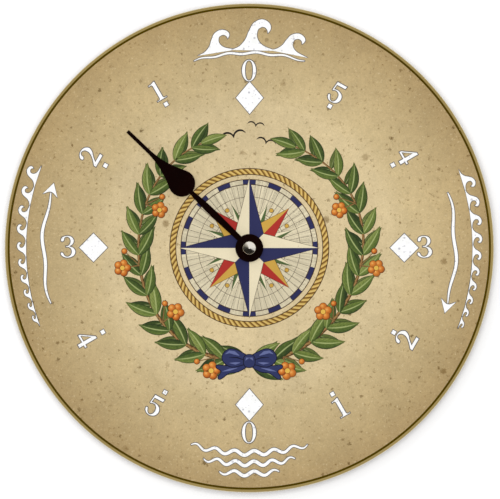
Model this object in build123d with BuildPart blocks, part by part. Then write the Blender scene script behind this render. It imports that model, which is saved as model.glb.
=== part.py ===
from build123d import *
import os
from math import asin, atan2, cos, degrees, radians, sin, tan

os.makedirs("parts", exist_ok=True)

# A round wall tide clock: a printed board, one spade hand and a battery movement behind.
# Millimetres. The hand turns on the Y axis, the dial faces -Y and +Z is up.
# y = 0 is the wall, which the back of the movement touches.
# A depth is a distance from the wall towards the viewer, so it is -y.

# Fits and gaps shared by all pieces
overrun = 1.0
running_fit = 0.05
thread_gap = 0.05
seat_gap = 0.1
side_gap = 0.25
layer_gap = 0.3
wheel_gap = 0.4
end_shake = 0.2

# Dial board and its printed face
dial_radius = 133.35
board_thickness = 6.35
board_bevel = 0.4
print_thickness = 0.3

# Movement case, a box open to the wall, with the cell in a bay along its lower side
case_wall = 1.2
case_corner = 3.0
case_bevel = 0.5
bay_wall = 1.0
bay_clearance = 1.4
contact_room = 1.55
cover_thickness = 1.2
lip_thickness = 0.9
lip_depth = 1.8
notch_radius = 7.0

# Dry cell, a standard AA size
cell_radius = 7.25
cell_can_length = 49.5
cell_nub_radius = 2.75
cell_nub_length = 1.0
cell_edge = 0.6

# Threaded bush, nut and washers that clamp the board
bush_radius = 4.0
bush_end = 0.15
bush_flange_radius = 5.5
bush_flange_thickness = 0.8
bush_chamfer = 0.4
nut_across_flats = 11.0
nut_thickness = 2.2
nut_bevel = 0.5
brass_washer_radius = 6.6
brass_washer_thickness = 0.5
rubber_washer_radius = 9.0
rubber_washer_thickness = 1.0

# Steel hanger plate with a keyhole above the movement
hanger_thickness = 0.8
hanger_foot_radius = 10.0
hanger_head_radius = 9.0
hanger_head_rise = 3.0
keyhole_radius = 4.0
keyhole_rise = 7.0
keyhole_slot_radius = 1.75
keyhole_slot_length = 6.5

# Tide shaft, round with two flats at the hand and a thread for the cap nut
shaft_radius = 1.6
shaft_flat_half = 1.15
shaft_thread_radius = 1.1
shaft_thread_length = 2.2

# Spade hand, cut from sheet, with a pressed bushing and a cap nut
hand_thickness = 0.5
hand_length = 91.8
hand_hub_radius = 7.6
hand_angle = 136.2
stem_root_half = 1.45
stem_belly_half = 1.9
stem_neck_half = 1.02
bulb_centre = 50.85
bulb_radius = 7.25
bulb_leaving_angle = 25.0
neck_slope_share = 0.14
ogee_run_share = 0.36
shoulder_slope_share = 0.03
shoulder_end = 75.4
shoulder_half = 1.03
tip_half = 0.94
bushing_flange_radius = 3.4
bushing_flange_thickness = 0.6
bushing_spigot_radius = 2.4
cap_radius = 3.7
cap_flank = 0.8
cap_dome_height = 1.0
cap_point_height = 1.2
cap_cone_radius = 3.0

# Going train and motion work: teeth and modules
pinion_leaves = 8
rotor_pinion_leaves = 8
fifth_teeth = 48
fourth_teeth = 40
third_teeth = 64
centre_teeth = 60
arbor_leaves = 19
minute_teeth = 59
minute_leaves = 10
tide_teeth = 40
setting_leaves = 16
fine_module = 0.2
coarse_module = 0.25
motion_module = 0.2
tide_module = motion_module * (arbor_leaves + minute_teeth) / (minute_leaves + tide_teeth)

# Tooth form: rise and fall from the pitch circle, then width at tip and root, per module
wheel_tooth_shares = (0.8, 1.2, 0.50, 2.35)
leaf_tooth_shares = (0.6, 1.2, 0.60, 1.95)

# Directions from one axis to the next, degrees anticlockwise from +X as the dial is seen
third_direction = 150.0
fourth_direction = 100.0
fifth_direction = 20.0
rotor_direction = 5.0
minute_direction = 20.0
setting_direction = 0.0

# Thicknesses in the train
wheel_thickness = 0.8
centre_wheel_thickness = 1.0
tide_wheel_thickness = 0.9
leaf_length = 1.3
minute_leaf_length = 1.4
plate_thickness = 1.0
bridge_thickness = 0.8
bridge_gap = 1.2
rotor_rise = 1.3
web_recess = 0.3
rim_width = 0.6
web_hub_radius = 1.5
arbor_radius = 0.5
centre_arbor_radius = 0.75
pivot_radius = 0.35
pivot_length = 0.7
hub_boss_radius = 0.9

# Stepping motor
magnet_radius = 2.5
magnet_thickness = 2.6
stator_thickness = 0.8
stator_hole_radius = 3.0
stator_ring_width = 1.2
stator_notch_radius = 0.5
detent_direction = 30.0
stator_leg_width = 3.2
stator_elbow_rise = 4.7
coil_half_span = 9.2
core_height = 3.0
bobbin_half_length = 7.0
bobbin_flange = 0.8
bobbin_flange_height = 6.6
bobbin_flange_depth = 6.0
bobbin_wall = 0.4
winding_height = 6.0
winding_depth = 5.2
winding_corner = 2.0
boss_radius = 2.0
screw_radius = 0.7
screw_head_radius = 1.4
screw_head_thickness = 0.7
screw_reach = 3.0
screw_slot = 0.3

# Posts that carry the plates, each beside one wheel: the gap to its teeth and the direction
post_radius = 1.6
post_pin_radius = 1.0
pillar_radius = 1.8
third_post_gap = 3.2
third_post_direction = 238.0
centre_post_gap = 4.8
centre_post_direction = 331.0
fourth_post_gap = 0.5
fourth_post_direction = 124.0
minute_post_gap = 4.2
minute_post_direction = 59.0
plate_margin = 2.4
plate_corner = 2.0

# Setting knob in a well of the rear cover, inside a shallow dish with two raised arrows
knob_radius = 5.5
knob_thickness = 1.6
knob_recess = 0.2
knob_groove_radius = 0.6
knob_grooves = 14
knob_dish_radius = 3.8
knob_dish_depth = 0.5
knob_bar_half = 0.6
well_wall = 0.8
dish_radius = 9.0
dish_depth = 0.6
arrow_radius = 7.7
arrow_half = 0.35
arrow_head_half = 0.9
arrow_head_turn = 14.0
arrow_sweep = 55.0
arrow_starts = (20.0, 200.0)
arrow_steps = 11
mark_depth = 0.3

# Bare panel and polarity marks sunk in the rear cover
panel_x = (-23.0, 2.0)
panel_z = (7.0, 21.0)
panel_corner = 1.5
sign_x = 20.0
sign_rise = 4.0
sign_length = 3.2
sign_width = 0.7

# Circuit board, chip and crystal
circuit_margin = 1.5
circuit_rise = 1.8
circuit_length = 25.0
circuit_thickness = 1.0
circuit_depth = 5.0
circuit_corner = 0.5
circuit_post_radius = 1.5
circuit_pin_radius = 0.8
circuit_pin_inset = 3.0
chip_radius = 2.4
chip_height = 1.2
crystal_radius = 1.0
crystal_length = 6.0
crystal_edge = 0.25

# Battery contacts, bent from strip
contact_thickness = 0.4
contact_start = 4.0
contact_width = 5.0
contact_drop = 5.2
contact_lap = 6.0
contact_dimple_radius = 1.5
riser_inset = 4.5
leaf_rise = 4.3

# Snap hooks of the rear cover
hook_width = 5.0
hook_length = 3.6
hook_catch = 0.7
hook_catch_length = 1.2
hook_heights = (4.0, 20.0)

# Depths of the going train, stacked from the rear cover out to the middle plate
bridge_back = cover_thickness + bridge_gap
bridge_front = bridge_back + bridge_thickness
train_shoulder = bridge_front + end_shake
rotor_leaf_back = train_shoulder + rotor_rise
fifth_back = rotor_leaf_back + end_shake
fifth_front = fifth_back + wheel_thickness
rotor_leaf_front = fifth_front + end_shake
fourth_back = fifth_front + wheel_thickness
fourth_front = fourth_back + wheel_thickness
fifth_leaf_front = fourth_front + seat_gap
third_back = fourth_front + wheel_thickness
third_front = third_back + wheel_thickness
fourth_leaf_front = third_front + end_shake
third_leaf_back = third_front + layer_gap
third_leaf_front = third_leaf_back + leaf_length
centre_front = third_leaf_front - seat_gap
centre_back = centre_front - centre_wheel_thickness
magnet_back = rotor_leaf_front + end_shake
magnet_front = magnet_back + magnet_thickness
stator_back = fourth_front + layer_gap
stator_front = stator_back + stator_thickness
core_front = stator_front + stator_thickness

# Depths of the motion work, from the middle plate out to the case front
plate_back = centre_front + wheel_gap
plate_front = plate_back + plate_thickness
motion_leaf_back = plate_front + layer_gap
minute_back = motion_leaf_back + end_shake
minute_front = minute_back + wheel_thickness
motion_leaf_front = minute_front + end_shake
minute_leaf_front = minute_front + minute_leaf_length
hub_shoulder = plate_front + end_shake
tide_front = minute_leaf_front
tide_back = tide_front - tide_wheel_thickness

# The case is as deep as the deeper of the train and the cell needs
cell_floor = seat_gap + 2 * cell_radius + end_shake
front_floor = max(tide_front + layer_gap, cell_floor)
case_depth = front_floor + case_wall
cell_depth = front_floor - end_shake - cell_radius

# Depths in front of the case, stacked out to the hand
hanger_front = case_depth + hanger_thickness
board_back = hanger_front + rubber_washer_thickness
board_front = board_back + board_thickness
print_front = board_front + print_thickness
brass_washer_front = print_front + brass_washer_thickness
nut_front = brass_washer_front + nut_thickness
bush_front = nut_front + bush_end
bushing_back = bush_front + layer_gap
hand_back = bushing_back + bushing_flange_thickness
hand_front = hand_back + hand_thickness


def away(start, distance, direction):
    """The point at a distance and direction from a point of the dial plane."""
    angle = radians(direction)
    return (start[0] + distance * cos(angle), start[1] + distance * sin(angle))


# Axes of the train in the dial plane, each as (x, z)
centre = (0.0, 0.0)
third = away(centre, coarse_module * (pinion_leaves + centre_teeth) / 2, third_direction)
fourth = away(third, fine_module * (pinion_leaves + third_teeth) / 2, fourth_direction)
fifth = away(fourth, coarse_module * (pinion_leaves + fourth_teeth) / 2, fifth_direction)
rotor = away(fifth, fine_module * (rotor_pinion_leaves + fifth_teeth) / 2, rotor_direction)
minute = away(centre, motion_module * (arbor_leaves + minute_teeth) / 2, minute_direction)
setting = away(minute, motion_module * (minute_teeth + setting_leaves) / 2, setting_direction)


def pitch_radius(teeth, module):
    return teeth * module / 2


def beside(axis, teeth, module, gap, direction):
    """The place of a pillar that stands a gap away from a wheel's teeth."""
    tip_radius = pitch_radius(teeth, module) + wheel_tooth_shares[0] * module
    return away(axis, tip_radius + gap + pillar_radius, direction)


post_places = [
    beside(third, third_teeth, fine_module, third_post_gap, third_post_direction),
    beside(centre, centre_teeth, coarse_module, centre_post_gap, centre_post_direction),
    beside(fourth, fourth_teeth, coarse_module, fourth_post_gap, fourth_post_direction),
    beside(minute, minute_teeth, motion_module, minute_post_gap, minute_post_direction),
]
post_xs = [place[0] for place in post_places]
post_zs = [place[1] for place in post_places]
train_left = min(post_xs) - plate_margin
train_right = max(post_xs) + plate_margin
train_low = min(post_zs) - plate_margin
train_high = max(post_zs) + plate_margin

# The coil lies above the plates and the cell below them; the case goes round all of them
coil_middle = (rotor[0], train_high + seat_gap + bobbin_flange_height / 2)
coil_pads = [(coil_middle[0] + side * coil_half_span, coil_middle[1]) for side in (-1, 1)]
inner_top = coil_middle[1] + bobbin_flange_height / 2 + seat_gap
bay_back = train_low - bay_clearance
bay_top = bay_back - bay_wall
cell_height = bay_top - side_gap - cell_radius
inner_bottom = cell_height - cell_radius - side_gap
cell_end = (cell_can_length + cell_nub_length) / 2
inner_side = cell_end + contact_room
case_side = inner_side + case_wall
case_top = inner_top + case_wall
case_bottom = inner_bottom - case_wall
keyhole_height = case_top + keyhole_rise


def at_depth(depth):
    """The plane that faces the viewer at a depth from the wall."""
    return Plane.XZ.offset(depth)


def disc(middle, radius, start, end, mode=Mode.ADD):
    """A round length along Y, between two depths, in the part that is open."""
    with BuildSketch(at_depth(start)) as outline:
        with Locations(middle):
            Circle(radius)
    extrude(outline.sketch, amount=end - start, mode=mode)


def spread(half_width):
    """The range from -half_width to +half_width."""
    return (-half_width, half_width)


def block(x_range, z_range, start, end, mode=Mode.ADD, corner=0.0):
    """A rectangle of the dial plane, extruded between two depths."""
    middle = (sum(x_range) / 2, sum(z_range) / 2)
    with BuildSketch(at_depth(start)) as outline:
        with Locations(middle):
            if corner:
                RectangleRounded(x_range[1] - x_range[0], z_range[1] - z_range[0], corner)
            else:
                Rectangle(x_range[1] - x_range[0], z_range[1] - z_range[0])
    extrude(outline.sketch, amount=end - start, mode=mode)


def tooth_points(teeth, module, shares, first_tooth):
    """Four corners for each tooth: root, tip, tip and root again."""
    rise, fall, tip_width, root_width = (share * module for share in shares)
    tip = pitch_radius(teeth, module) + rise
    root = pitch_radius(teeth, module) - fall
    tip_half_angle = degrees(asin(tip_width / 2 / tip))
    root_half_angle = degrees(asin(root_width / 2 / root))
    corners = []
    for tooth in range(teeth):
        middle = first_tooth + tooth * 360 / teeth
        for radius, turn in (
            (root, -root_half_angle),
            (tip, -tip_half_angle),
            (tip, tip_half_angle),
            (root, root_half_angle),
        ):
            corners.append(away((0, 0), radius, middle + turn))
    return corners


def gear(middle, teeth, module, shares, first_tooth, start, end):
    """A toothed disc between two depths."""
    with BuildSketch(at_depth(start)) as outline:
        with Locations(middle):
            Polygon(*tooth_points(teeth, module, shares, first_tooth), align=None)
    extrude(outline.sketch, amount=end - start)


def web(middle, teeth, module, start, depth):
    """A ring sunk into a wheel's face, so that a thin web is left inside the rim."""
    outer = pitch_radius(teeth, module) - wheel_tooth_shares[1] * module - rim_width
    with BuildSketch(at_depth(start)) as outline:
        with Locations(middle):
            Circle(outer)
            Circle(web_hub_radius, mode=Mode.SUBTRACT)
    extrude(outline.sketch, amount=depth, mode=Mode.SUBTRACT)


def wheel(middle, teeth, module, first_tooth, start, end):
    """A wheel with a thin web between its rim and its hub."""
    gear(middle, teeth, module, wheel_tooth_shares, first_tooth, start, end)
    web(middle, teeth, module, start, web_recess)


def pinion(middle, leaves, module, first_tooth, start, end):
    """A pinion, whose teeth are called leaves."""
    gear(middle, leaves, module, leaf_tooth_shares, first_tooth, start, end)


def meshed(teeth, first_tooth, start, end, other_teeth):
    """The first tooth's angle that puts the other gear's gap on this gear's tooth."""
    direction = degrees(atan2(end[1] - start[1], end[0] - start[0]))
    turned = (first_tooth - direction) * teeth / 360
    return direction + 180 + (0.5 - turned) * 360 / other_teeth


# First tooth of every gear, worked out along the train so that all of them mesh at rest
tide_first = hand_angle
minute_leaf_first = meshed(tide_teeth, tide_first, centre, minute, minute_leaves)
arbor_first = 0.0
minute_first = meshed(arbor_leaves, arbor_first, centre, minute, minute_teeth)
setting_first = meshed(minute_teeth, minute_first, minute, setting, setting_leaves)
centre_first = 0.0
third_leaf_first = meshed(centre_teeth, centre_first, centre, third, pinion_leaves)
third_first = 0.0
fourth_leaf_first = meshed(third_teeth, third_first, third, fourth, pinion_leaves)
fourth_first = 0.0
fifth_leaf_first = meshed(fourth_teeth, fourth_first, fourth, fifth, pinion_leaves)
fifth_first = 0.0
rotor_first = meshed(fifth_teeth, fifth_first, fifth, rotor, rotor_pinion_leaves)


def finish(builder, name):
    """Label a finished piece and write it."""
    builder.part.label = name
    export_step(builder.part, f"parts/{name}.step")


# Dial board: fibreboard disc with a small bevel round its front edge
with BuildPart() as dial_board:
    with BuildSketch(at_depth(board_back)):
        Circle(dial_radius)
        Circle(bush_radius + side_gap, mode=Mode.SUBTRACT)
    extrude(amount=board_thickness)
    rims = dial_board.edges().filter_by(GeomType.CIRCLE).sort_by(SortBy.RADIUS)[-2:]
    chamfer(rims.sort_by(Axis.Y)[0], board_bevel)
finish(dial_board, "dial_board")

# Printed face: a thin sheet laid on the board, as wide as the flat inside the bevel
with BuildPart() as dial_face:
    with BuildSketch(at_depth(board_front)):
        Circle(dial_radius - board_bevel)
        Circle(bush_radius + side_gap, mode=Mode.SUBTRACT)
    extrude(amount=print_thickness)
finish(dial_face, "dial_face")

# Rubber washer between the hanger and the board
with BuildPart() as rubber_washer:
    disc(centre, rubber_washer_radius, hanger_front, board_back)
    disc(centre, bush_radius + seat_gap, hanger_front, board_back, Mode.SUBTRACT)
finish(rubber_washer, "rubber_washer")

# Brass washer under the nut
with BuildPart() as brass_washer:
    disc(centre, brass_washer_radius, print_front, brass_washer_front)
    disc(centre, bush_radius + seat_gap, print_front, brass_washer_front, Mode.SUBTRACT)
finish(brass_washer, "brass_washer")

# Hexagon nut with both faces bevelled at the corners
with BuildPart() as hex_nut:
    with BuildSketch(at_depth(brass_washer_front)):
        RegularPolygon(nut_across_flats / 2, 6, major_radius=False)
    extrude(amount=nut_thickness)
    with BuildSketch(Plane.XY):
        with BuildLine():
            nut_face_radius = nut_across_flats / 2
            nut_corner_radius = nut_face_radius + 2 * nut_bevel
            Polyline(
                (0, -brass_washer_front),
                (nut_face_radius, -brass_washer_front),
                (nut_corner_radius, -brass_washer_front - nut_bevel),
                (nut_corner_radius, -nut_front + nut_bevel),
                (nut_face_radius, -nut_front),
                (0, -nut_front),
                close=True,
            )
        make_face()
    revolve(axis=Axis.Y, mode=Mode.INTERSECT)
    disc(centre, bush_radius + thread_gap, brass_washer_front, nut_front, Mode.SUBTRACT)
finish(hex_nut, "hex_nut")

# Hanger plate: a lobe round the bush and a head with the keyhole for the nail
with BuildPart() as hanger_plate:
    with BuildSketch(at_depth(case_depth)):
        Circle(hanger_foot_radius)
        with Locations((0, keyhole_height + hanger_head_rise)):
            Circle(hanger_head_radius)
        make_hull()
        Circle(bush_radius + seat_gap, mode=Mode.SUBTRACT)
        with Locations((0, keyhole_height)):
            Circle(keyhole_radius, mode=Mode.SUBTRACT)
        with Locations((0, keyhole_height + keyhole_slot_length / 2)):
            SlotCenterToCenter(
                keyhole_slot_length,
                2 * keyhole_slot_radius,
                rotation=90,
                mode=Mode.SUBTRACT,
            )
    extrude(amount=hanger_thickness)
finish(hanger_plate, "hanger_plate")

# Threaded bush: a brass tube with a flange let into the case front
with BuildPart() as threaded_bush:
    disc(centre, bush_flange_radius, case_depth - bush_flange_thickness, case_depth)
    disc(centre, bush_radius, case_depth, bush_front)
    bush_rim = threaded_bush.edges().filter_by(GeomType.CIRCLE).sort_by(Axis.Y)[0]
    chamfer(bush_rim, bush_chamfer)
    disc(centre, shaft_radius + running_fit, case_depth - overrun, bush_front + overrun, Mode.SUBTRACT)
finish(threaded_bush, "threaded_bush")

# Case: walls, battery bay, posts and bosses moulded in one piece
past_case = case_side + overrun
past_top = case_top + overrun
cover_edge = bay_top + bay_wall / 2
flange_back = case_depth - bush_flange_thickness
circuit_x = (contact_thickness + 2 * seat_gap - inner_side, train_left - circuit_margin)
circuit_low = bay_back + circuit_rise
circuit_high = circuit_low + circuit_length
circuit_front = circuit_depth + circuit_thickness
circuit_middle = sum(circuit_x) / 2
circuit_pins = [
    (circuit_middle, circuit_low + circuit_pin_inset),
    (circuit_middle, circuit_high - circuit_pin_inset),
]
contact_end = contact_start + contact_width
hook_end = cover_thickness + hook_length
catch_start = hook_end - hook_catch_length
with BuildPart() as case_front:
    block(spread(case_side), (case_bottom, case_top), 0, case_depth, corner=case_corner)
    outlines = case_front.edges().group_by(Axis.Y)
    chamfer(outlines[0] + outlines[-1], case_bevel)
    block(spread(inner_side), (bay_back, inner_top), -overrun, front_floor, Mode.SUBTRACT)
    block(spread(inner_side), (inner_bottom, bay_top), -overrun, front_floor, Mode.SUBTRACT)
    block(spread(past_case), (cover_edge, past_top), -overrun, cover_thickness, Mode.SUBTRACT)
    disc(centre, bush_flange_radius, flange_back, case_depth + overrun, Mode.SUBTRACT)
    disc(centre, shaft_radius + side_gap, front_floor - overrun, case_depth, Mode.SUBTRACT)
    for middle in (minute, setting):
        disc(middle, pivot_radius + running_fit, front_floor, front_floor + pivot_length, Mode.SUBTRACT)
    for middle in post_places:
        disc(middle, post_radius, plate_front, front_floor)
        disc(middle, post_pin_radius, bridge_back - end_shake, plate_front)
    for middle in circuit_pins:
        disc(middle, circuit_post_radius, circuit_front, front_floor)
        disc(middle, circuit_pin_radius, circuit_depth - end_shake, circuit_front)
    for middle in coil_pads:
        disc(middle, boss_radius, core_front, front_floor)
        disc(middle, screw_radius + thread_gap, core_front - overrun, core_front + screw_reach, Mode.SUBTRACT)
    through_bay_wall = (bay_top - overrun, bay_back + overrun)
    for side in (-1, 1):
        edge = sorted((side * inner_side, side * (inner_side - 2 * contact_thickness)))
        block(edge, through_bay_wall, contact_start, contact_end, Mode.SUBTRACT)
        wall_side = sorted((side * (inner_side - overrun), side * past_case))
        for height in hook_heights:
            window_half = hook_width / 2 + seat_gap
            window = (height - window_half, height + window_half)
            block(wall_side, window, catch_start - seat_gap, hook_end + seat_gap, Mode.SUBTRACT)
    with BuildSketch(Plane.XY.offset(case_bottom - overrun)):
        Circle(notch_radius)
    extrude(amount=overrun + case_wall + overrun, mode=Mode.SUBTRACT)
finish(case_front, "case_front")

def turn_arrow(start):
    """An arrow bent round the setting axis, from a starting direction."""
    turns = [start + arrow_sweep * step / arrow_steps for step in range(arrow_steps + 1)]
    outer = [away(setting, arrow_radius + arrow_half, turn) for turn in turns]
    inner = [away(setting, arrow_radius - arrow_half, turn) for turn in turns]
    head = [
        away(setting, arrow_radius + arrow_head_half, turns[-1]),
        away(setting, arrow_radius, turns[-1] + arrow_head_turn),
        away(setting, arrow_radius - arrow_head_half, turns[-1]),
    ]
    return outer + head + inner[::-1]


# Rear cover: a lid with a lip inside the case walls, a dish and well for the knob and four hooks
well_radius = knob_radius + layer_gap
well_floor_back = knob_recess + knob_thickness + end_shake
well_floor_front = well_floor_back + well_wall
with BuildPart() as rear_cover:
    block(spread(case_side), (case_bottom, case_top), 0, cover_thickness, corner=case_corner)
    chamfer(rear_cover.edges().group_by(Axis.Y)[-1], case_bevel)
    past_cover = cover_thickness + overrun
    below_case = case_bottom - overrun
    block(spread(past_case), (below_case, cover_edge), -overrun, past_cover, Mode.SUBTRACT)
    lip_outer = inner_side - seat_gap
    lip_inner = lip_outer - lip_thickness
    lip_low = bay_back + seat_gap
    lip_high = inner_top - seat_gap
    inside_lip = (lip_low + lip_thickness, lip_high - lip_thickness)
    lip_end = cover_thickness + lip_depth
    block(spread(lip_outer), (lip_low, lip_high), cover_thickness, lip_end)
    block(spread(lip_inner), inside_lip, cover_thickness, lip_end, Mode.SUBTRACT)
    for side in (-1, 1):
        arm = sorted((side * lip_outer, side * lip_inner))
        catch = sorted((side * lip_inner, side * (lip_outer + hook_catch)))
        for height in hook_heights:
            span = (height - hook_width / 2, height + hook_width / 2)
            block(arm, span, lip_end, hook_end)
            block(catch, span, catch_start, hook_end)
    disc(setting, dish_radius, -overrun, dish_depth, Mode.SUBTRACT)
    disc(setting, well_radius + well_wall, dish_depth, well_floor_front)
    disc(setting, well_radius, -overrun, well_floor_back, Mode.SUBTRACT)
    disc(setting, centre_arbor_radius + running_fit, 0, well_floor_front + overrun, Mode.SUBTRACT)
    with BuildSketch(at_depth(dish_depth - mark_depth)):
        for start in arrow_starts:
            Polygon(*turn_arrow(start), align=None)
    extrude(amount=2 * mark_depth)
    block(panel_x, panel_z, -overrun, mark_depth, Mode.SUBTRACT, corner=panel_corner)
    sign_z = cover_edge + sign_rise
    bar = (sign_z - sign_width / 2, sign_z + sign_width / 2)
    for side in (-1, 1):
        middle = side * sign_x
        block((middle - sign_length / 2, middle + sign_length / 2), bar, -overrun, mark_depth, Mode.SUBTRACT)
    upright = (-sign_x - sign_width / 2, -sign_x + sign_width / 2)
    span = (sign_z - sign_length / 2, sign_z + sign_length / 2)
    block(upright, span, -overrun, mark_depth, Mode.SUBTRACT)
finish(rear_cover, "rear_cover")


def plate_outline():
    """The rounded outline that takes in all the posts."""
    with Locations(((train_left + train_right) / 2, (train_low + train_high) / 2)):
        RectangleRounded(train_right - train_left, train_high - train_low, plate_corner)


# Middle plate: parts the going train from the motion work and carries their bearings
with BuildPart() as middle_plate:
    with BuildSketch(at_depth(plate_back)):
        plate_outline()
        with Locations(setting):
            Circle(centre_arbor_radius + plate_margin)
        with Locations(*post_places):
            Circle(post_pin_radius + running_fit, mode=Mode.SUBTRACT)
        with Locations(third, fourth, fifth, rotor):
            Circle(pivot_radius + running_fit, mode=Mode.SUBTRACT)
        with Locations(minute):
            Circle(arbor_radius + running_fit, mode=Mode.SUBTRACT)
        with Locations(centre, setting):
            Circle(centre_arbor_radius + running_fit, mode=Mode.SUBTRACT)
    extrude(amount=plate_thickness)
finish(middle_plate, "middle_plate")

# Train bridge: the rear bearings, on hollow pillars that slip over the posts' pins
with BuildPart() as train_bridge:
    with BuildSketch(at_depth(bridge_back)):
        plate_outline()
        with Locations(setting):
            Circle(well_radius + well_wall + layer_gap, mode=Mode.SUBTRACT)
    extrude(amount=bridge_thickness)
    for middle in post_places:
        disc(middle, pillar_radius, bridge_front, plate_back)
    behind = bridge_back - overrun
    for middle in post_places:
        disc(middle, post_pin_radius + running_fit, behind, plate_back + overrun, Mode.SUBTRACT)
    for middle in (third, fourth, fifth, rotor, centre):
        disc(middle, pivot_radius + running_fit, behind, bridge_front + overrun, Mode.SUBTRACT)
finish(train_bridge, "train_bridge")

# Tide wheel: the last wheel, pressed on the tide shaft
with BuildPart() as tide_wheel:
    wheel(centre, tide_teeth, tide_module, tide_first, tide_back, tide_front)
    disc(centre, shaft_radius, tide_back - overrun, tide_front + overrun, Mode.SUBTRACT)
finish(tide_wheel, "tide_wheel")

# Tide shaft: bored behind for the centre arbor's pivot, flats and a thread in front
with BuildPart() as tide_shaft:
    disc(centre, shaft_radius, tide_back, hand_front)
    for side in (-1, 1):
        across = sorted((side * shaft_flat_half, side * (shaft_radius + overrun)))
        block(across, (-shaft_radius, shaft_radius), bushing_back, hand_front + overrun, Mode.SUBTRACT)
    disc(centre, shaft_thread_radius, hand_front, hand_front + shaft_thread_length)
    disc(centre, centre_arbor_radius + running_fit, tide_back - overrun, tide_front, Mode.SUBTRACT)
finish(tide_shaft, "tide_shaft")

# Hand bushing: a flange behind the sheet and a spigot through it, broached to the flats
with BuildPart() as hand_bushing:
    disc(centre, bushing_flange_radius, bushing_back, hand_back)
    disc(centre, bushing_spigot_radius, hand_back, hand_front)
    with BuildSketch(at_depth(bushing_back)):
        Circle(shaft_radius)
        Rectangle(2 * shaft_flat_half, 2 * shaft_radius, mode=Mode.INTERSECT)
    extrude(amount=hand_front - bushing_back, mode=Mode.SUBTRACT)
finish(hand_bushing, "hand_bushing")

# Tide hand: hub, swelling stem, round bulb and a long ogee shoulder that runs to the tip
hand_turn = radians(hand_angle)
hand_plane = Plane(
    origin=(0, -hand_back, 0), x_dir=(cos(hand_turn), 0, sin(hand_turn)), z_dir=(0, -1, 0)
)
with BuildPart() as tide_hand:
    with BuildSketch(hand_plane):
        with BuildLine():
            leaving = radians(bulb_leaving_angle)
            neck_turn = asin(stem_neck_half / bulb_radius)
            neck = (bulb_centre - bulb_radius * cos(neck_turn), stem_neck_half)
            bulb_top = (bulb_centre, bulb_radius)
            leave = (bulb_centre + bulb_radius * sin(leaving), bulb_radius * cos(leaving))
            shoulder = (shoulder_end, shoulder_half)
            belly = (hand_hub_radius + neck[0]) / 2
            stem_ends = [(1, 0), (1, -neck_slope_share)]
            Spline((0, stem_root_half), (belly, stem_belly_half), neck, tangents=stem_ends)
            ThreePointArc(neck, bulb_top, leave)
            run = (shoulder_end - leave[0]) * ogee_run_share
            Bezier(
                leave,
                (leave[0] + run, leave[1] - run * tan(leaving)),
                (shoulder_end - run, shoulder_half + run * shoulder_slope_share),
                shoulder,
            )
            Line(shoulder, (hand_length, tip_half))
            Line((hand_length, tip_half), (hand_length, 0))
            mirror(about=Plane.XZ)
            Line((0, stem_root_half), (0, -stem_root_half))
        make_face()
        Circle(hand_hub_radius)
        Circle(bushing_spigot_radius, mode=Mode.SUBTRACT)
    extrude(amount=hand_thickness)
finish(tide_hand, "tide_hand")

# Cap nut: a short flank, a rounded shoulder and a shallow cone, bored for the thread
with BuildPart() as cap_nut:
    with BuildSketch(Plane.XY):
        with BuildLine():
            flank_top = -hand_front - cap_flank
            dome_top = flank_top - cap_dome_height
            point = dome_top - cap_point_height
            Polyline((0, point), (0, -hand_front), (cap_radius, -hand_front), (cap_radius, flank_top))
            TangentArc((cap_radius, flank_top), (cap_cone_radius, dome_top), tangent=(0, -1))
            Line((cap_cone_radius, dome_top), (0, point))
        make_face()
    revolve(axis=Axis.Y)
    thread_end = hand_front + shaft_thread_length + seat_gap
    disc(centre, shaft_thread_radius + thread_gap, hand_front - overrun, thread_end, Mode.SUBTRACT)
finish(cap_nut, "cap_nut")

# Minute wheel and its pinion, one moulding
with BuildPart() as minute_wheel:
    wheel(minute, minute_teeth, motion_module, minute_first, minute_back, minute_front)
    pinion(minute, minute_leaves, tide_module, minute_leaf_first, minute_front, minute_leaf_front)
    disc(minute, hub_boss_radius, hub_shoulder, minute_back)
    disc(minute, arbor_radius, plate_back + end_shake, hub_shoulder)
    disc(minute, pivot_radius, minute_leaf_front, front_floor + pivot_length - end_shake)
finish(minute_wheel, "minute_wheel")

# Centre arbor with its pinion; the centre wheel grips it and slips when the hand is set
collar_radius = centre_arbor_radius + hub_boss_radius
collar_back = centre_back - 2 * wheel_thickness
with BuildPart() as centre_arbor:
    pinion(centre, arbor_leaves, motion_module, arbor_first, motion_leaf_back, motion_leaf_front)
    disc(centre, centre_arbor_radius, train_shoulder, motion_leaf_back)
    disc(centre, centre_arbor_radius, motion_leaf_front, tide_front - end_shake)
    disc(centre, pivot_radius, bridge_back + end_shake, train_shoulder)
    disc(centre, collar_radius, collar_back, centre_back - seat_gap)
finish(centre_arbor, "centre_arbor")

# Centre wheel: turned by the third pinion, a close turning fit on the arbor
with BuildPart() as centre_wheel:
    wheel(centre, centre_teeth, coarse_module, centre_first, centre_back, centre_front)
    turning_radius = centre_arbor_radius + running_fit
    disc(centre, turning_radius, centre_back - overrun, centre_front + overrun, Mode.SUBTRACT)
finish(centre_wheel, "centre_wheel")


def arbor(middle):
    """An arbor between bridge and plate, with a thinner pivot at each end."""
    disc(middle, arbor_radius, train_shoulder, plate_back - end_shake)
    disc(middle, pivot_radius, plate_back - end_shake, plate_back + pivot_length)
    disc(middle, pivot_radius, bridge_back + end_shake / 2, train_shoulder)


# Third wheel, driven by the fourth pinion; its own pinion stands off and drives the centre wheel
with BuildPart() as third_wheel:
    arbor(third)
    wheel(third, third_teeth, fine_module, third_first, third_back, third_front)
    pinion(third, pinion_leaves, coarse_module, third_leaf_first, third_leaf_back, third_leaf_front)
finish(third_wheel, "third_wheel")

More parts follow.
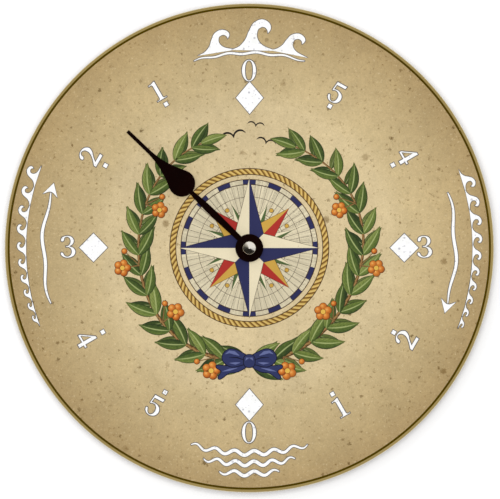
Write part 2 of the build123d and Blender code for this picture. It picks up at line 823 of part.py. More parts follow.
# Fourth wheel, driven by the fifth pinion
with BuildPart() as fourth_wheel:
    arbor(fourth)
    wheel(fourth, fourth_teeth, coarse_module, fourth_first, fourth_back, fourth_front)
    pinion(fourth, pinion_leaves, fine_module, fourth_leaf_first, fourth_front, fourth_leaf_front)
finish(fourth_wheel, "fourth_wheel")

# Fifth wheel, driven by the rotor pinion
with BuildPart() as fifth_wheel:
    arbor(fifth)
    wheel(fifth, fifth_teeth, fine_module, fifth_first, fifth_back, fifth_front)
    pinion(fifth, pinion_leaves, coarse_module, fifth_leaf_first, fifth_front, fifth_leaf_front)
finish(fifth_wheel, "fifth_wheel")

# Rotor: a pinion moulding that carries a ring magnet
with BuildPart() as rotor_pinion:
    arbor(rotor)
    pinion(rotor, rotor_pinion_leaves, fine_module, rotor_first, rotor_leaf_back, rotor_leaf_front)
    disc(rotor, hub_boss_radius, rotor_leaf_front, magnet_back)
finish(rotor_pinion, "rotor_pinion")

with BuildPart() as rotor_magnet:
    disc(rotor, magnet_radius, magnet_back, magnet_front)
    disc(rotor, arbor_radius, magnet_back - overrun, magnet_front + overrun, Mode.SUBTRACT)
finish(rotor_magnet, "rotor_magnet")

# Stator: a ring round the magnet with two legs to the coil, and two detent notches
with BuildPart() as stator:
    with BuildSketch(at_depth(stator_back)):
        with Locations(rotor):
            Circle(stator_hole_radius + stator_ring_width)
        for pad in coil_pads:
            elbow = (pad[0], rotor[1] + stator_elbow_rise)
            arm_middle = ((rotor[0] + elbow[0]) / 2, (rotor[1] + elbow[1]) / 2)
            SlotCenterPoint(arm_middle, elbow, stator_leg_width)
            SlotCenterPoint((pad[0], (elbow[1] + pad[1]) / 2), pad, stator_leg_width)
            with Locations(pad):
                Circle(boss_radius)
        with Locations(rotor):
            Circle(stator_hole_radius, mode=Mode.SUBTRACT)
        detents = [away(rotor, stator_hole_radius, detent_direction + turn) for turn in (0, 180)]
        with Locations(*detents):
            Circle(stator_notch_radius, mode=Mode.SUBTRACT)
        with Locations(*coil_pads):
            Circle(screw_radius + thread_gap, mode=Mode.SUBTRACT)
    extrude(amount=stator_thickness)
finish(stator, "stator")

# Coil core: a strip through the bobbin, lapped on the stator's pads
with BuildPart() as coil_core:
    with BuildSketch(at_depth(stator_front)):
        with Locations(coil_middle):
            Rectangle(2 * coil_half_span, core_height)
        with Locations(*coil_pads):
            Circle(boss_radius)
            Circle(screw_radius + thread_gap, mode=Mode.SUBTRACT)
    extrude(amount=stator_thickness)
finish(coil_core, "coil_core")

# Bobbin: a barrel round the core with a flange at each end
core_middle_depth = (stator_front + core_front) / 2
coil_plane = Plane(
    origin=(coil_middle[0] - bobbin_half_length, -core_middle_depth, coil_middle[1]),
    x_dir=(0, -1, 0),
    z_dir=(1, 0, 0),
)
core_hole = (stator_thickness + 2 * seat_gap, core_height + 2 * seat_gap)
barrel = (core_hole[0] + 2 * bobbin_wall, core_hole[1] + 2 * bobbin_wall)
with BuildPart() as coil_bobbin:
    with BuildSketch(coil_plane):
        Rectangle(*barrel)
    extrude(amount=2 * bobbin_half_length)
    with BuildSketch(coil_plane, coil_plane.offset(2 * bobbin_half_length - bobbin_flange)):
        RectangleRounded(bobbin_flange_depth, bobbin_flange_height, bobbin_flange)
    extrude(amount=bobbin_flange)
    with BuildSketch(coil_plane):
        Rectangle(*core_hole)
    extrude(amount=2 * bobbin_half_length, mode=Mode.SUBTRACT)
finish(coil_bobbin, "coil_bobbin")

# Winding: fine enamelled wire, so close that it is one rounded body between the flanges
with BuildPart() as coil_winding:
    with BuildSketch(coil_plane.offset(bobbin_flange)):
        RectangleRounded(winding_depth, winding_height, winding_corner)
        Rectangle(*barrel, mode=Mode.SUBTRACT)
    extrude(amount=2 * (bobbin_half_length - bobbin_flange))
finish(coil_winding, "coil_winding")

# Two screws that clamp stator and core to the case bosses
with BuildPart() as stator_screws:
    for pad in coil_pads:
        disc(pad, screw_radius, stator_back, core_front + screw_reach - end_shake)
        disc(pad, screw_head_radius, stator_back - screw_head_thickness, stator_back)
        slot = (pad[0] - screw_head_radius, pad[0] + screw_head_radius)
        slot_height = (pad[1] - screw_slot / 2, pad[1] + screw_slot / 2)
        head_back = stator_back - screw_head_thickness
        block(slot, slot_height, head_back, head_back + screw_slot, Mode.SUBTRACT)
finish(stator_screws, "stator_screws")

# Setting arbor with the pinion that turns the minute wheel, its rear end let into the knob
knob_front = knob_recess + knob_thickness
knob_socket_end = knob_recess + knob_thickness / 2
with BuildPart() as setting_arbor:
    pinion(setting, setting_leaves, motion_module, setting_first, motion_leaf_back, motion_leaf_front)
    disc(setting, centre_arbor_radius, knob_socket_end, motion_leaf_back)
    disc(setting, pivot_radius, motion_leaf_front, front_floor + pivot_length - end_shake)
finish(setting_arbor, "setting_arbor")

# Setting knob, grooved round its rim for the fingers, with a bar across its hollow face
with BuildPart() as set_knob:
    disc(setting, knob_radius, knob_recess, knob_front)
    hollow_floor = knob_recess + knob_dish_depth
    disc(setting, knob_dish_radius, knob_recess - overrun, hollow_floor, Mode.SUBTRACT)
    bar_x = (setting[0] - knob_dish_radius, setting[0] + knob_dish_radius)
    bar_z = (setting[1] - knob_bar_half, setting[1] + knob_bar_half)
    block(bar_x, bar_z, knob_recess, hollow_floor)
    with BuildSketch(at_depth(knob_recess)):
        with Locations(setting):
            with PolarLocations(knob_radius, knob_grooves):
                Circle(knob_groove_radius)
    extrude(amount=knob_thickness, mode=Mode.SUBTRACT)
    disc(setting, centre_arbor_radius, knob_socket_end, knob_front + overrun, Mode.SUBTRACT)
finish(set_knob, "set_knob")

# Circuit board on its two pins, beside the train
with BuildPart() as circuit_board:
    block(circuit_x, (circuit_low, circuit_high), circuit_depth, circuit_front, corner=circuit_corner)
    pin_hole_radius = circuit_pin_radius + running_fit
    for middle in circuit_pins:
        disc(middle, pin_hole_radius, circuit_depth - overrun, circuit_front + overrun, Mode.SUBTRACT)
finish(circuit_board, "circuit_board")

# Control chip under a drop of resin
chip_middle = (circuit_middle, circuit_high - circuit_pin_inset - chip_radius - circuit_post_radius)
with BuildPart() as control_chip:
    disc(chip_middle, chip_radius, circuit_depth - chip_height, circuit_depth)
    fillet(control_chip.edges().sort_by(Axis.Y)[-1], chip_height - seat_gap)
finish(control_chip, "control_chip")

# Quartz crystal in its can, lying on the circuit board
crystal_low = circuit_low + circuit_pin_inset + circuit_post_radius
with BuildPart() as quartz_crystal:
    with BuildSketch(Plane.XY.offset(crystal_low)):
        with Locations((chip_middle[0], crystal_radius - circuit_depth + seat_gap / 2)):
            Circle(crystal_radius)
    extrude(amount=crystal_length)
    fillet(quartz_crystal.edges().sort_by(Axis.Z)[-1], crystal_edge)
finish(quartz_crystal, "quartz_crystal")

# Positive contact: a strip down the case wall with a dimple that meets the cell's nub
contact_low = cell_height - contact_drop
strip_back = -inner_side + seat_gap / 2
strip_face = strip_back + contact_thickness
dimple_length = -cell_end - seat_gap - strip_face
with BuildPart() as positive_contact:
    strip_span = (contact_low, circuit_low + contact_lap)
    block((strip_back, strip_face), strip_span, contact_start, contact_end)
    with BuildSketch(Plane.YZ.offset(strip_face)):
        with Locations((-cell_depth, cell_height)):
            Circle(contact_dimple_radius)
    extrude(amount=dimple_length)
finish(positive_contact, "positive_contact")

# Negative contact: a strip along the bay wall, down the far side and back as a bowed leaf
riser = riser_inset - inner_side
leaf_end = cell_height + leaf_rise
strip_middle = inner_side - seat_gap / 2 - contact_thickness / 2
strip_height = bay_back + seat_gap / 2 + contact_thickness / 2
leaf_crest = cell_end + seat_gap + contact_thickness / 2
with BuildPart() as negative_contact:
    with BuildSketch(at_depth(contact_start)):
        with BuildLine():
            Polyline(
                (riser, circuit_low - seat_gap / 2),
                (riser, strip_height),
                (strip_middle, strip_height),
                (strip_middle, contact_low),
                (strip_middle - 2 * contact_thickness, contact_low),
            )
            ThreePointArc(
                (strip_middle - 2 * contact_thickness, contact_low),
                (leaf_crest, (contact_low + leaf_end) / 2),
                (strip_middle - 2 * contact_thickness, leaf_end),
            )
        trace(line_width=contact_thickness)
    extrude(amount=contact_width)
finish(negative_contact, "negative_contact")

# Dry cell with its raised positive cap
cell_plane = Plane(
    origin=(-cell_end + cell_nub_length, -cell_depth, cell_height), x_dir=(0, 1, 0), z_dir=(1, 0, 0)
)
with BuildPart() as aa_battery:
    with BuildSketch(cell_plane):
        Circle(cell_radius)
    extrude(amount=cell_can_length)
    fillet(aa_battery.edges().filter_by(GeomType.CIRCLE), cell_edge)
    with BuildSketch(cell_plane):
        Circle(cell_nub_radius)
    extrude(amount=-cell_nub_length)
finish(aa_battery, "aa_battery")
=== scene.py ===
import math
import random

import bmesh
import bpy
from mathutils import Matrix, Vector
from mathutils.geometry import tessellate_polygon


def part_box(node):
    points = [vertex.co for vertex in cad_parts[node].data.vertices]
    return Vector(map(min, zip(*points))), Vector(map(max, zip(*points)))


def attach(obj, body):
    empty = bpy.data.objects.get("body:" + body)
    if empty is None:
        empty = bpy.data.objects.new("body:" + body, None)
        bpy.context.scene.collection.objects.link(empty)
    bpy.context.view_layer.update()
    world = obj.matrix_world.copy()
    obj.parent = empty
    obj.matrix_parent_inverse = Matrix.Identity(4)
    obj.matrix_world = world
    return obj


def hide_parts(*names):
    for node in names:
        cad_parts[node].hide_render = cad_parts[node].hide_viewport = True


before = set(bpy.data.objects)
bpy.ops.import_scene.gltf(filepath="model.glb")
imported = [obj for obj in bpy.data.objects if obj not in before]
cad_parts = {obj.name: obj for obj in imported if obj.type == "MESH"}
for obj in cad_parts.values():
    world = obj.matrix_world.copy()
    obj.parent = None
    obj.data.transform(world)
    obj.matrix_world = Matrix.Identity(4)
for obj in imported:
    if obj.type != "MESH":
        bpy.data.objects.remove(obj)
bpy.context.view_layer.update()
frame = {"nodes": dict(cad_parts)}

# Sizes in metres, taken from the frame where the frame has them
mm = 0.001
nodes = frame["nodes"]
face_low, face_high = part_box("dial_face")
board_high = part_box("dial_board")[1]
cell_low, cell_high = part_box("aa_battery")
face_front = -face_low.y
face_back = -face_high.y
board_back = -board_high.y
face_radius = face_high.x
dial_radius = board_high.x
board_bevel = dial_radius - face_radius
hole_radius = 4.25 * mm
cell_middle = (cell_low + cell_high) / 2
cell_radius = (cell_high.z - cell_low.z) / 2
label_floor = -0.3 * mm

# The photograph's frame, and the real size of one of its pixels
photo_width = 500
photo_height = 499
disc_pixels = 489.2
disc_middle = (249.3, 248.0)
pixel = 2 * dial_radius / disc_pixels

# Printed films lie on the face, each a little higher than the one below
film = 0.012 * mm
film_gap = 0.004 * mm

# Sizes of the print, in pixels of the photograph
outline_width = 0.40 * mm / pixel
outline_overlap = 0.22 * mm / pixel
numeral_trim = 0.1 * mm / pixel
bare_radius = 6.9 * mm / pixel
dot_half = 1.95
line_half = 0.4
scale_inner = 63.5
scale_outer = 68.5
rope_inner = 73.5
rope_outer = 79.5
rope_strands = 84
wreath_ring = 113


# Materials
def srgb(red, green, blue):
    """A colour as shown on a screen, 0 to 255, turned into the renderer's linear values."""
    def linear(value):
        share = value / 255
        return share / 12.92 if share <= 0.04045 else ((share + 0.055) / 1.055) ** 2.4
    return (linear(red), linear(green), linear(blue), 1.0)


class Value:
    """What a node gives; sums with it make more nodes."""

    def __init__(self, nodes, socket):
        self.nodes = nodes
        self.socket = socket

    def math(self, operation, other=0.0):
        return self.nodes.math(operation, self, other)

    def __add__(self, other):
        return self.math("ADD", other)

    def __sub__(self, other):
        return self.math("SUBTRACT", other)

    def __rsub__(self, other):
        return self.nodes.math("SUBTRACT", other, self)

    def __mul__(self, other):
        return self.math("MULTIPLY", other)

    def clamp(self):
        """Keeps the sum that was just made between 0 and 1."""
        self.socket.node.use_clamp = True
        return self


class Nodes:
    """A node tree that is built node by node."""

    def __init__(self, tree):
        self.tree = tree

    def node(self, kind, inputs=None, **settings):
        """One node; its inputs are numbers or what other nodes give."""
        made = self.tree.nodes.new("ShaderNode" + kind)
        for key, value in settings.items():
            setattr(made, key, value)
        for key, value in (inputs or {}).items():
            self.feed(made.inputs[key], value)
        return made

    def feed(self, socket, value):
        value = getattr(value, "socket", value)
        if isinstance(value, bpy.types.NodeSocket):
            self.tree.links.new(value, socket)
        else:
            socket.default_value = value

    def take(self, kind, inputs=None, output=0, **settings):
        """One output of a new node."""
        return Value(self, self.node(kind, inputs, **settings).outputs[output])

    def math(self, operation, first, second=0.0):
        return self.take("Math", {0: first, 1: second}, operation=operation)


class Finish(Nodes):
    """A procedural material round one shader."""

    def __init__(self, name, roughness=0.6, metallic=0.0, specular=0.2):
        self.material = bpy.data.materials.new(name)
        self.material.use_nodes = True
        super().__init__(self.material.node_tree)
        self.shader = self.tree.nodes["Principled BSDF"]
        self.put("Roughness", roughness)
        self.put("Metallic", metallic)
        self.put("Specular IOR Level", specular)

    def put(self, key, value):
        self.feed(self.shader.inputs[key], value)

    def colour(self, value):
        self.put("Base Color", value)
        return self.material

    def bump(self, height, depth):
        """Relief from a value, depth metres high."""
        self.put("Normal", self.take("Bump", {"Height": height, "Distance": depth}, "Normal"))

    def place(self, stretch=(1, 1, 1)):
        """Positions on the object in metres, stretched along the axes."""
        found = self.take("TexCoord", output="Object")
        if stretch == (1, 1, 1):
            return found
        return self.take("Mapping", {"Vector": found, "Scale": stretch})

    def parts(self, value, kind="XYZ"):
        """The three parts of a vector or a colour."""
        return [Value(self, socket) for socket in self.node("Separate" + kind, {0: value}).outputs]

    def flat(self):
        """Positions in the dial's plane, as x and y."""
        x, y, z = self.parts(self.place())
        return self.take("CombineXYZ", {"X": x, "Y": z})

    def away(self, unit):
        """The distance from the clock's axis, in units."""
        flat = self.place((1 / unit, 0, 1 / unit))
        return self.take("VectorMath", {0: flat}, "Value", operation="LENGTH")

    def strip(self):
        """A strip's number with the place across it, and the place along it."""
        return self.parts(self.take("UVMap"))[:2]

    def pick(self, number):
        """A random share for each strip."""
        return self.take("TexWhiteNoise", {"W": number.math("FLOOR")}, "Value", noise_dimensions="1D")

    def noise(self, scale, detail=3, rough=0.5, warp=0.0, stretch=(1, 1, 1), output=0):
        """Cloudy values from 0 to 1; scale is in features for each metre."""
        return self.take("TexNoise", {
            "Vector": self.place(stretch), "Scale": scale, "Detail": detail,
            "Roughness": rough, "Distortion": warp,
        }, output)

    def specks(self, spot, cells, share, reach, cut):
        """A mask of scattered spots: cells for each metre, the share that hold one, and its size."""
        field = self.node("TexVoronoi", {"Vector": spot, "Scale": cells}, voronoi_dimensions="2D").outputs
        pick, tone = self.parts(field["Color"], "Color")[:2]
        size = (pick - (1 - share)).clamp() * (reach / share)
        return ((size - field["Distance"]) * cut).clamp() * (tone * 0.6 + 0.4)

    def ramp(self, value, stops):
        """Along a value, as (place, colour) pairs: greys, screen colours or linear colours."""
        made = self.node("ValToRGB", {"Fac": value})
        bar = made.color_ramp.elements
        while len(bar) < len(stops):
            bar.new(0.5)
        for element, (place, colour) in zip(bar, stops):
            if not isinstance(colour, tuple):
                colour = (colour, colour, colour, 1.0)
            element.position = place
            element.color = srgb(*colour) if len(colour) == 3 else colour
        return Value(self, made.outputs["Color"])

    def mix(self, share, first, second, blend="MIX"):
        first, second = [srgb(*value) if isinstance(value, tuple) else value for value in (first, second)]
        return self.take("Mix", {"Factor": share, "A": first, "B": second}, "Result",
                         data_type="RGBA", blend_type=blend)

    def mottled(self, value, noise, low, high):
        """A colour made darker and lighter by a noise; low and high are places with shares."""
        return self.mix(1.0, value, self.ramp(noise, [low, high]), "MULTIPLY")

    def aged(self, value):
        """A colour with the broad clouds and the fine grain of old paper."""
        value = self.mottled(value, self.noise(24, 5, 0.6), (0.3, 0.90), (0.7, 1.06))
        return self.mottled(value, self.noise(1500, 2, 0.7), (0.2, 0.95), (0.8, 1.05))


def plain(name, colour, roughness=0.5, metallic=0.0, specular=0.5, tone=0.08, grain=900,
          relief=0.0, stretch=(1, 1, 1), rough_swing=0.08):
    """A moulded, painted or metal surface: cloudy colour, uneven gloss and fine relief."""
    made = Finish(name, roughness, metallic, specular)
    cloud = made.noise(grain / 8, 4, 0.55, stretch=stretch)
    fine = made.noise(grain, 3, 0.6, stretch=stretch)
    dark, light = [tuple(min(1.0, channel * share) for channel in srgb(*colour)[:3]) + (1.0,)
                   for share in (1 - tone, 1 + tone)]
    made.colour(made.ramp(cloud * 0.6 + fine * 0.4, [(0.35, dark), (0.65, light)]))
    low, high = max(0.02, roughness - rough_swing), min(1.0, roughness + rough_swing)
    made.put("Roughness", made.ramp(fine, [(0.3, low), (0.7, high)]))
    if relief:
        made.bump(fine, relief)
    return made


def finish_parchment():
    """Printed paper tone: pale in the middle, browner to the rim, with specks and hair lines."""
    made = Finish("parchment_print", 0.65)
    tone = made.ramp(made.away(dial_radius), [
        (0.25, (214, 194, 152)), (0.58, (209, 189, 147)), (0.665, (200, 179, 135)),
        (0.76, (194, 172, 128)), (0.88, (183, 160, 116)), (0.985, (172, 147, 103)),
    ])
    tone = made.mottled(tone, made.noise(14, 6, 0.62, 0.4), (0.28, 0.87), (0.72, 1.08))
    tone = made.mottled(tone, made.noise(85, 5, 0.6), (0.3, 0.94), (0.7, 1.05))
    tone = made.mottled(tone, made.noise(330, 3, 0.65), (0.3, 0.94), (0.7, 1.05))
    tone = made.mottled(tone, made.noise(1300, 2, 0.7), (0.25, 0.90), (0.75, 1.09))
    wander = made.noise(1500, output="Color")
    shift = made.take("VectorMath", {0: wander, "Scale": 0.0034}, operation="SCALE")
    warped = made.take("VectorMath", {0: made.flat(), 1: shift}, operation="ADD")
    pale = made.ramp(made.noise(700, 4, 0.7), [(0.58, 0.0), (0.7, 0.5)])
    tone = made.mix(pale, tone, (226, 208, 168))
    flecks = made.ramp(made.noise(820, 5, 0.75), [(0.635, 0.0), (0.68, 1.0)])
    tone = made.mix(flecks * 0.5, tone, (132, 104, 62))
    for cells, share, reach, cut, depth, tint in (
        (430, 0.5, 0.27, 9, 0.75, (122, 96, 50)), (190, 0.36, 0.19, 14, 0.8, (108, 84, 42)),
        (88, 0.26, 0.125, 22, 0.85, (98, 76, 36)), (46, 0.30, 0.11, 24, 0.7, (118, 92, 48)),
    ):
        tone = made.mix(made.specks(warped, cells, share, reach, cut) * depth, tone, tint)
    for cells, width, cloud, depth in ((42, 0.014, 75, 0.42), (200, 0.055, 420, 0.5)):
        edge = made.take("TexVoronoi", {"Vector": warped, "Scale": cells}, "Distance",
                         feature="DISTANCE_TO_EDGE", voronoi_dimensions="2D")
        thin = (width - edge).clamp() * (1 / width)
        where = (made.noise(cloud, 2) - 0.58).clamp()
        tone = made.mix((thin * (where * 10.0)).clamp() * depth, tone, (134, 108, 66))
    made.bump(made.noise(1300, 2, 0.7), 0.02 * mm)
    return made.colour(tone)


def ink(name, colour, speck=None, specular=0.2):
    """A flat printed colour, aged like the paper under it."""
    made = Finish(name, specular=specular)
    value = made.aged(colour)
    if speck:
        field = made.node("TexVoronoi", {"Vector": made.place(), "Scale": 260.0}).outputs
        size = (made.parts(field["Color"], "Color")[0] - 0.72).clamp() * 0.42
        value = made.mix(((size - field["Distance"]) * 30.0).clamp() * 0.5, value, speck)
    return made.colour(value)


def finish_white():
    """White ink, hardly toned, with a few faint specks."""
    made = Finish("white_ink", specular=0.1)
    value = made.ramp(made.noise(220, 4), [(0.35, (243, 243, 241)), (0.6, (251, 251, 251))])
    for cells, depth in ((330, 0.75), (560, 0.65)):
        value = made.mix(made.specks(made.flat(), cells, 0.5, 0.27, 12.0) * depth, value, (170, 168, 178))
    return made.colour(value)


def finish_leaf(name, shade):
    """Painted leaves: a pale midrib and veins, a light and a dark half, and a dark edge."""
    made = Finish(name)
    number, along = made.strip()
    across = number.math("FRACT")
    from_rib = (across - 0.5).math("ABSOLUTE")
    light = across * 0.5 + made.pick(number) * 0.5 + (made.noise(700) - 0.5) * 0.5
    tone = made.ramp(light, [
        (0.08, (48, 62, 30)), (0.38, (76, 94, 42)), (0.62, (102, 118, 54)), (0.92, (138, 148, 80)),
    ])
    vein = ((along * 8.0 - from_rib * 5.0).math("FRACT") - 0.5).math("ABSOLUTE")
    for value, start, end, tint in (
        (vein, (0.02, 0.5), (0.16, 0.0), (52, 72, 38)),
        (from_rib, (0.02, 0.85), (0.08, 0.0), (168, 178, 116)),
        (from_rib, (0.38, 0.0), (0.47, 0.9), (36, 48, 26)),
        (along, (0.8, 0.0), (1.0, 0.6), (92, 96, 44)),
    ):
        tone = made.mix(made.ramp(value, [start, end]), tone, tint)
    return made.colour(made.mix(shade, made.aged(tone), (34, 44, 26)))


def finish_petal():
    """Painted petals: pale orange near the upper left, brown towards the lower right edge."""
    made = Finish("petal_ink")
    number, along = made.strip()
    x = number.math("FRACT") - 0.38
    z = along - 0.62
    away = (x * x + z * z).math("SQRT") + (made.noise(1400, 2) - 0.5) * 0.2
    tone = made.ramp(away, [
        (0.03, (230, 172, 98)), (0.2, (210, 128, 52)), (0.4, (184, 98, 34)), (0.62, (118, 56, 22)),
    ])
    return made.colour(made.aged(made.mix(made.pick(number) * 0.3, tone, (216, 142, 62))))


def finish_bark():
    """Painted twigs: lit along one side and ringed across."""
    made = Finish("bark_ink")
    number, along = made.strip()
    light = number.math("FRACT") + ((along * 60.0).math("FRACT") - 0.5) * 0.3
    return made.colour(made.aged(made.ramp(light, [
        (0.05, (64, 42, 22)), (0.3, (112, 80, 44)), (0.62, (164, 128, 78)), (0.95, (84, 58, 30)),
    ])))


def finish_rope():
    """A painted gold rope: slanting strands, lit in their middles, dark between."""
    made = Finish("rope_ink")
    x, z = made.parts(made.place())[::2]
    slant = (made.away(pixel) - rope_inner) * (1.1 / (rope_outer - rope_inner))
    strand = (x.math("ARCTAN2", z) * (rope_strands / math.tau) + slant).math("FRACT")
    return made.colour(made.aged(made.ramp(strand, [
        (0.0, (84, 58, 22)), (0.14, (140, 104, 48)), (0.42, (206, 172, 92)),
        (0.62, (222, 192, 118)), (0.86, (164, 124, 58)), (0.98, (84, 58, 22)),
    ])))


def finish_hardboard():
    """Brown pressed board behind, with cream paint on its bevels and its side edge."""
    made = Finish("hardboard", 0.75, specular=0.3)
    fine = made.noise(2400, 3, 0.6)
    fibres = fine * 0.6 + made.noise(300, 4, 0.6) * 0.4
    brown = made.ramp(fibres, [(0.35, (98, 70, 44)), (0.5, (122, 90, 60)), (0.65, (146, 112, 78))])
    cream = made.ramp(fibres, [(0.35, (228, 214, 176)), (0.65, (240, 228, 194))])
    ragged = made.away(dial_radius) + made.noise(400) * 0.002
    made.bump(fine, 0.05 * mm)
    return made.colour(made.mix(made.ramp(ragged, [(0.9975, 0.0), (0.9985, 1.0)]), brown, cream))


def finish_cell():
    """The cell's printed sleeve: a light band towards the plus end, then dark, with bare steel ends."""
    made = Finish("cell_sleeve", 0.32, specular=0.5)
    share = made.parts(made.place())[0] * 10.0 + 0.5
    steel, light, pale, dark = (172, 172, 170), (112, 132, 148), (214, 210, 198), (48, 62, 80)
    bands = made.ramp(share, [(0.0, steel), (0.2555, light), (0.372, pale), (0.38, dark), (0.745, steel)])
    bands.socket.node.color_ramp.interpolation = "CONSTANT"
    scuffs = made.noise(700, 4, 0.6, stretch=(0.3, 1, 1))
    made.colour(made.mottled(bands, scuffs, (0.3, 0.9), (0.7, 1.08)))
    return made


def finish_thread():
    """Brass with the ridges of a thread of 0.75 mm pitch."""
    made = plain("brass_thread", (202, 176, 112), 0.3, metallic=1.0, tone=0.06)
    along = made.parts(made.place())[1] * (1 / (0.75 * mm))
    made.bump(along.math("PINGPONG", 0.5), 0.35 * mm)
    return made


# Shapes in a plane are lists of (x, z) points
def polar(radius, angle):
    """A point at a clock angle: degrees clockwise from the top."""
    turn = math.radians(angle)
    return (radius * math.sin(turn), radius * math.cos(turn))


def rectangle(left, right, low, high):
    return [(left, low), (right, low), (right, high), (left, high)]


def wound(loop, outside=True):
    """A loop that runs anticlockwise, or clockwise where it bounds a hole."""
    ahead = loop[1:] + loop[:1]
    area = sum(p[0] * q[1] - q[0] * p[1] for p, q in zip(loop, ahead))
    return loop if (area > 0) == outside else loop[::-1]


def smooth_loop(points, steps=6):
    """A closed outline through points; those with a third value are sharp corners."""
    count = len(points)
    sharp = [len(point) == 3 for point in points]
    spots = [Vector(point[:2]) for point in points]
    headings = []
    for i in range(count):
        before = spots[i] - spots[i - 1]
        after = spots[(i + 1) % count] - spots[i]
        headings.append((before / before.length_squared + after / after.length_squared).normalized())
    loop = []
    for i in range(count):
        j = (i + 1) % count
        chord = spots[j] - spots[i]
        leave = chord if sharp[i] else headings[i] * chord.length
        arrive = chord if sharp[j] else headings[j] * chord.length
        for step in range(1 if sharp[i] and sharp[j] else steps):
            t = step / steps
            point = (spots[i] * (2 * t**3 - 3 * t**2 + 1) + leave * (t**3 - 2 * t**2 + t)
                     + spots[j] * (3 * t**2 - 2 * t**3) + arrive * (t**3 - t**2))
            loop.append(tuple(point))
    return loop


def offset_loop(loop, distance):
    """An outline moved outwards by a distance, or into a hole where the loop runs clockwise."""
    moved = []
    for i in range(len(loop)):
        here = Vector(loop[i])
        before = (here - Vector(loop[i - 1])).normalized()
        after = (Vector(loop[(i + 1) % len(loop)]) - here).normalized()
        square = Vector((before.y, -before.x))
        side = Vector((before.y + after.y, -before.x - after.x))
        if side.length < 0.2:
            side = square
        side = side.normalized()
        stretch = min(1.6, 1 / max(0.3, side.dot(square)))
        moved.append(tuple(here + side * distance * stretch))
    return moved


def placed(loops, middle, turn=0.0, size=1.0):
    """Loops scaled, turned clockwise by degrees and moved to a middle."""
    angle = math.radians(turn)
    c, s = math.cos(angle), math.sin(angle)
    return [[(middle[0] + size * (x * c + z * s), middle[1] + size * (z * c - x * s)) for x, z in loop]
            for loop in loops]


def around(path, ring, angle, inward=False):
    """A path whose x runs along a ring and whose z points away from the axis, or towards it."""
    way = -1 if inward else 1
    return [polar(ring + way * z, angle + way * math.degrees(x / ring)) for x, z in path]


# Pieces
def add(name, data):
    """A new object in the scene."""
    made = bpy.data.objects.new(name, data)
    bpy.context.scene.collection.objects.link(made)
    return made


def mesh_piece(name, points, faces, material, body, smooth=False):
    """A mesh object in the row frame that rides on a body."""
    mesh = bpy.data.meshes.new(name)
    mesh.from_pydata(points, [], faces)
    mesh.validate()
    shell = bmesh.new()
    shell.from_mesh(mesh)
    bmesh.ops.recalc_face_normals(shell, faces=shell.faces)
    shell.to_mesh(mesh)
    shell.free()
    if smooth:
        mesh.polygons.foreach_set("use_smooth", [True] * len(mesh.polygons))
        mesh.set_sharp_from_angle(angle=math.radians(32))
    mesh.materials.append(material)
    made = add(name, mesh)
    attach(made, body)
    return made


def lathe(name, profile, material, replaced):
    """A closed ring turned round the clock's axis; the profile lists (radius, depth)."""
    steps = 240
    count = len(profile)
    points = []
    faces = []
    for step in range(steps):
        turn = math.tau * step / steps
        points += [(radius * math.cos(turn), -depth, radius * math.sin(turn)) for radius, depth in profile]
        here, ahead = step * count, (step + 1) % steps * count
        for i in range(count):
            j = (i + 1) % count
            faces.append((here + i, here + j, ahead + j, ahead + i))
    made = mesh_piece(name, points, faces, material, "clock", smooth=True)
    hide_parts(replaced)


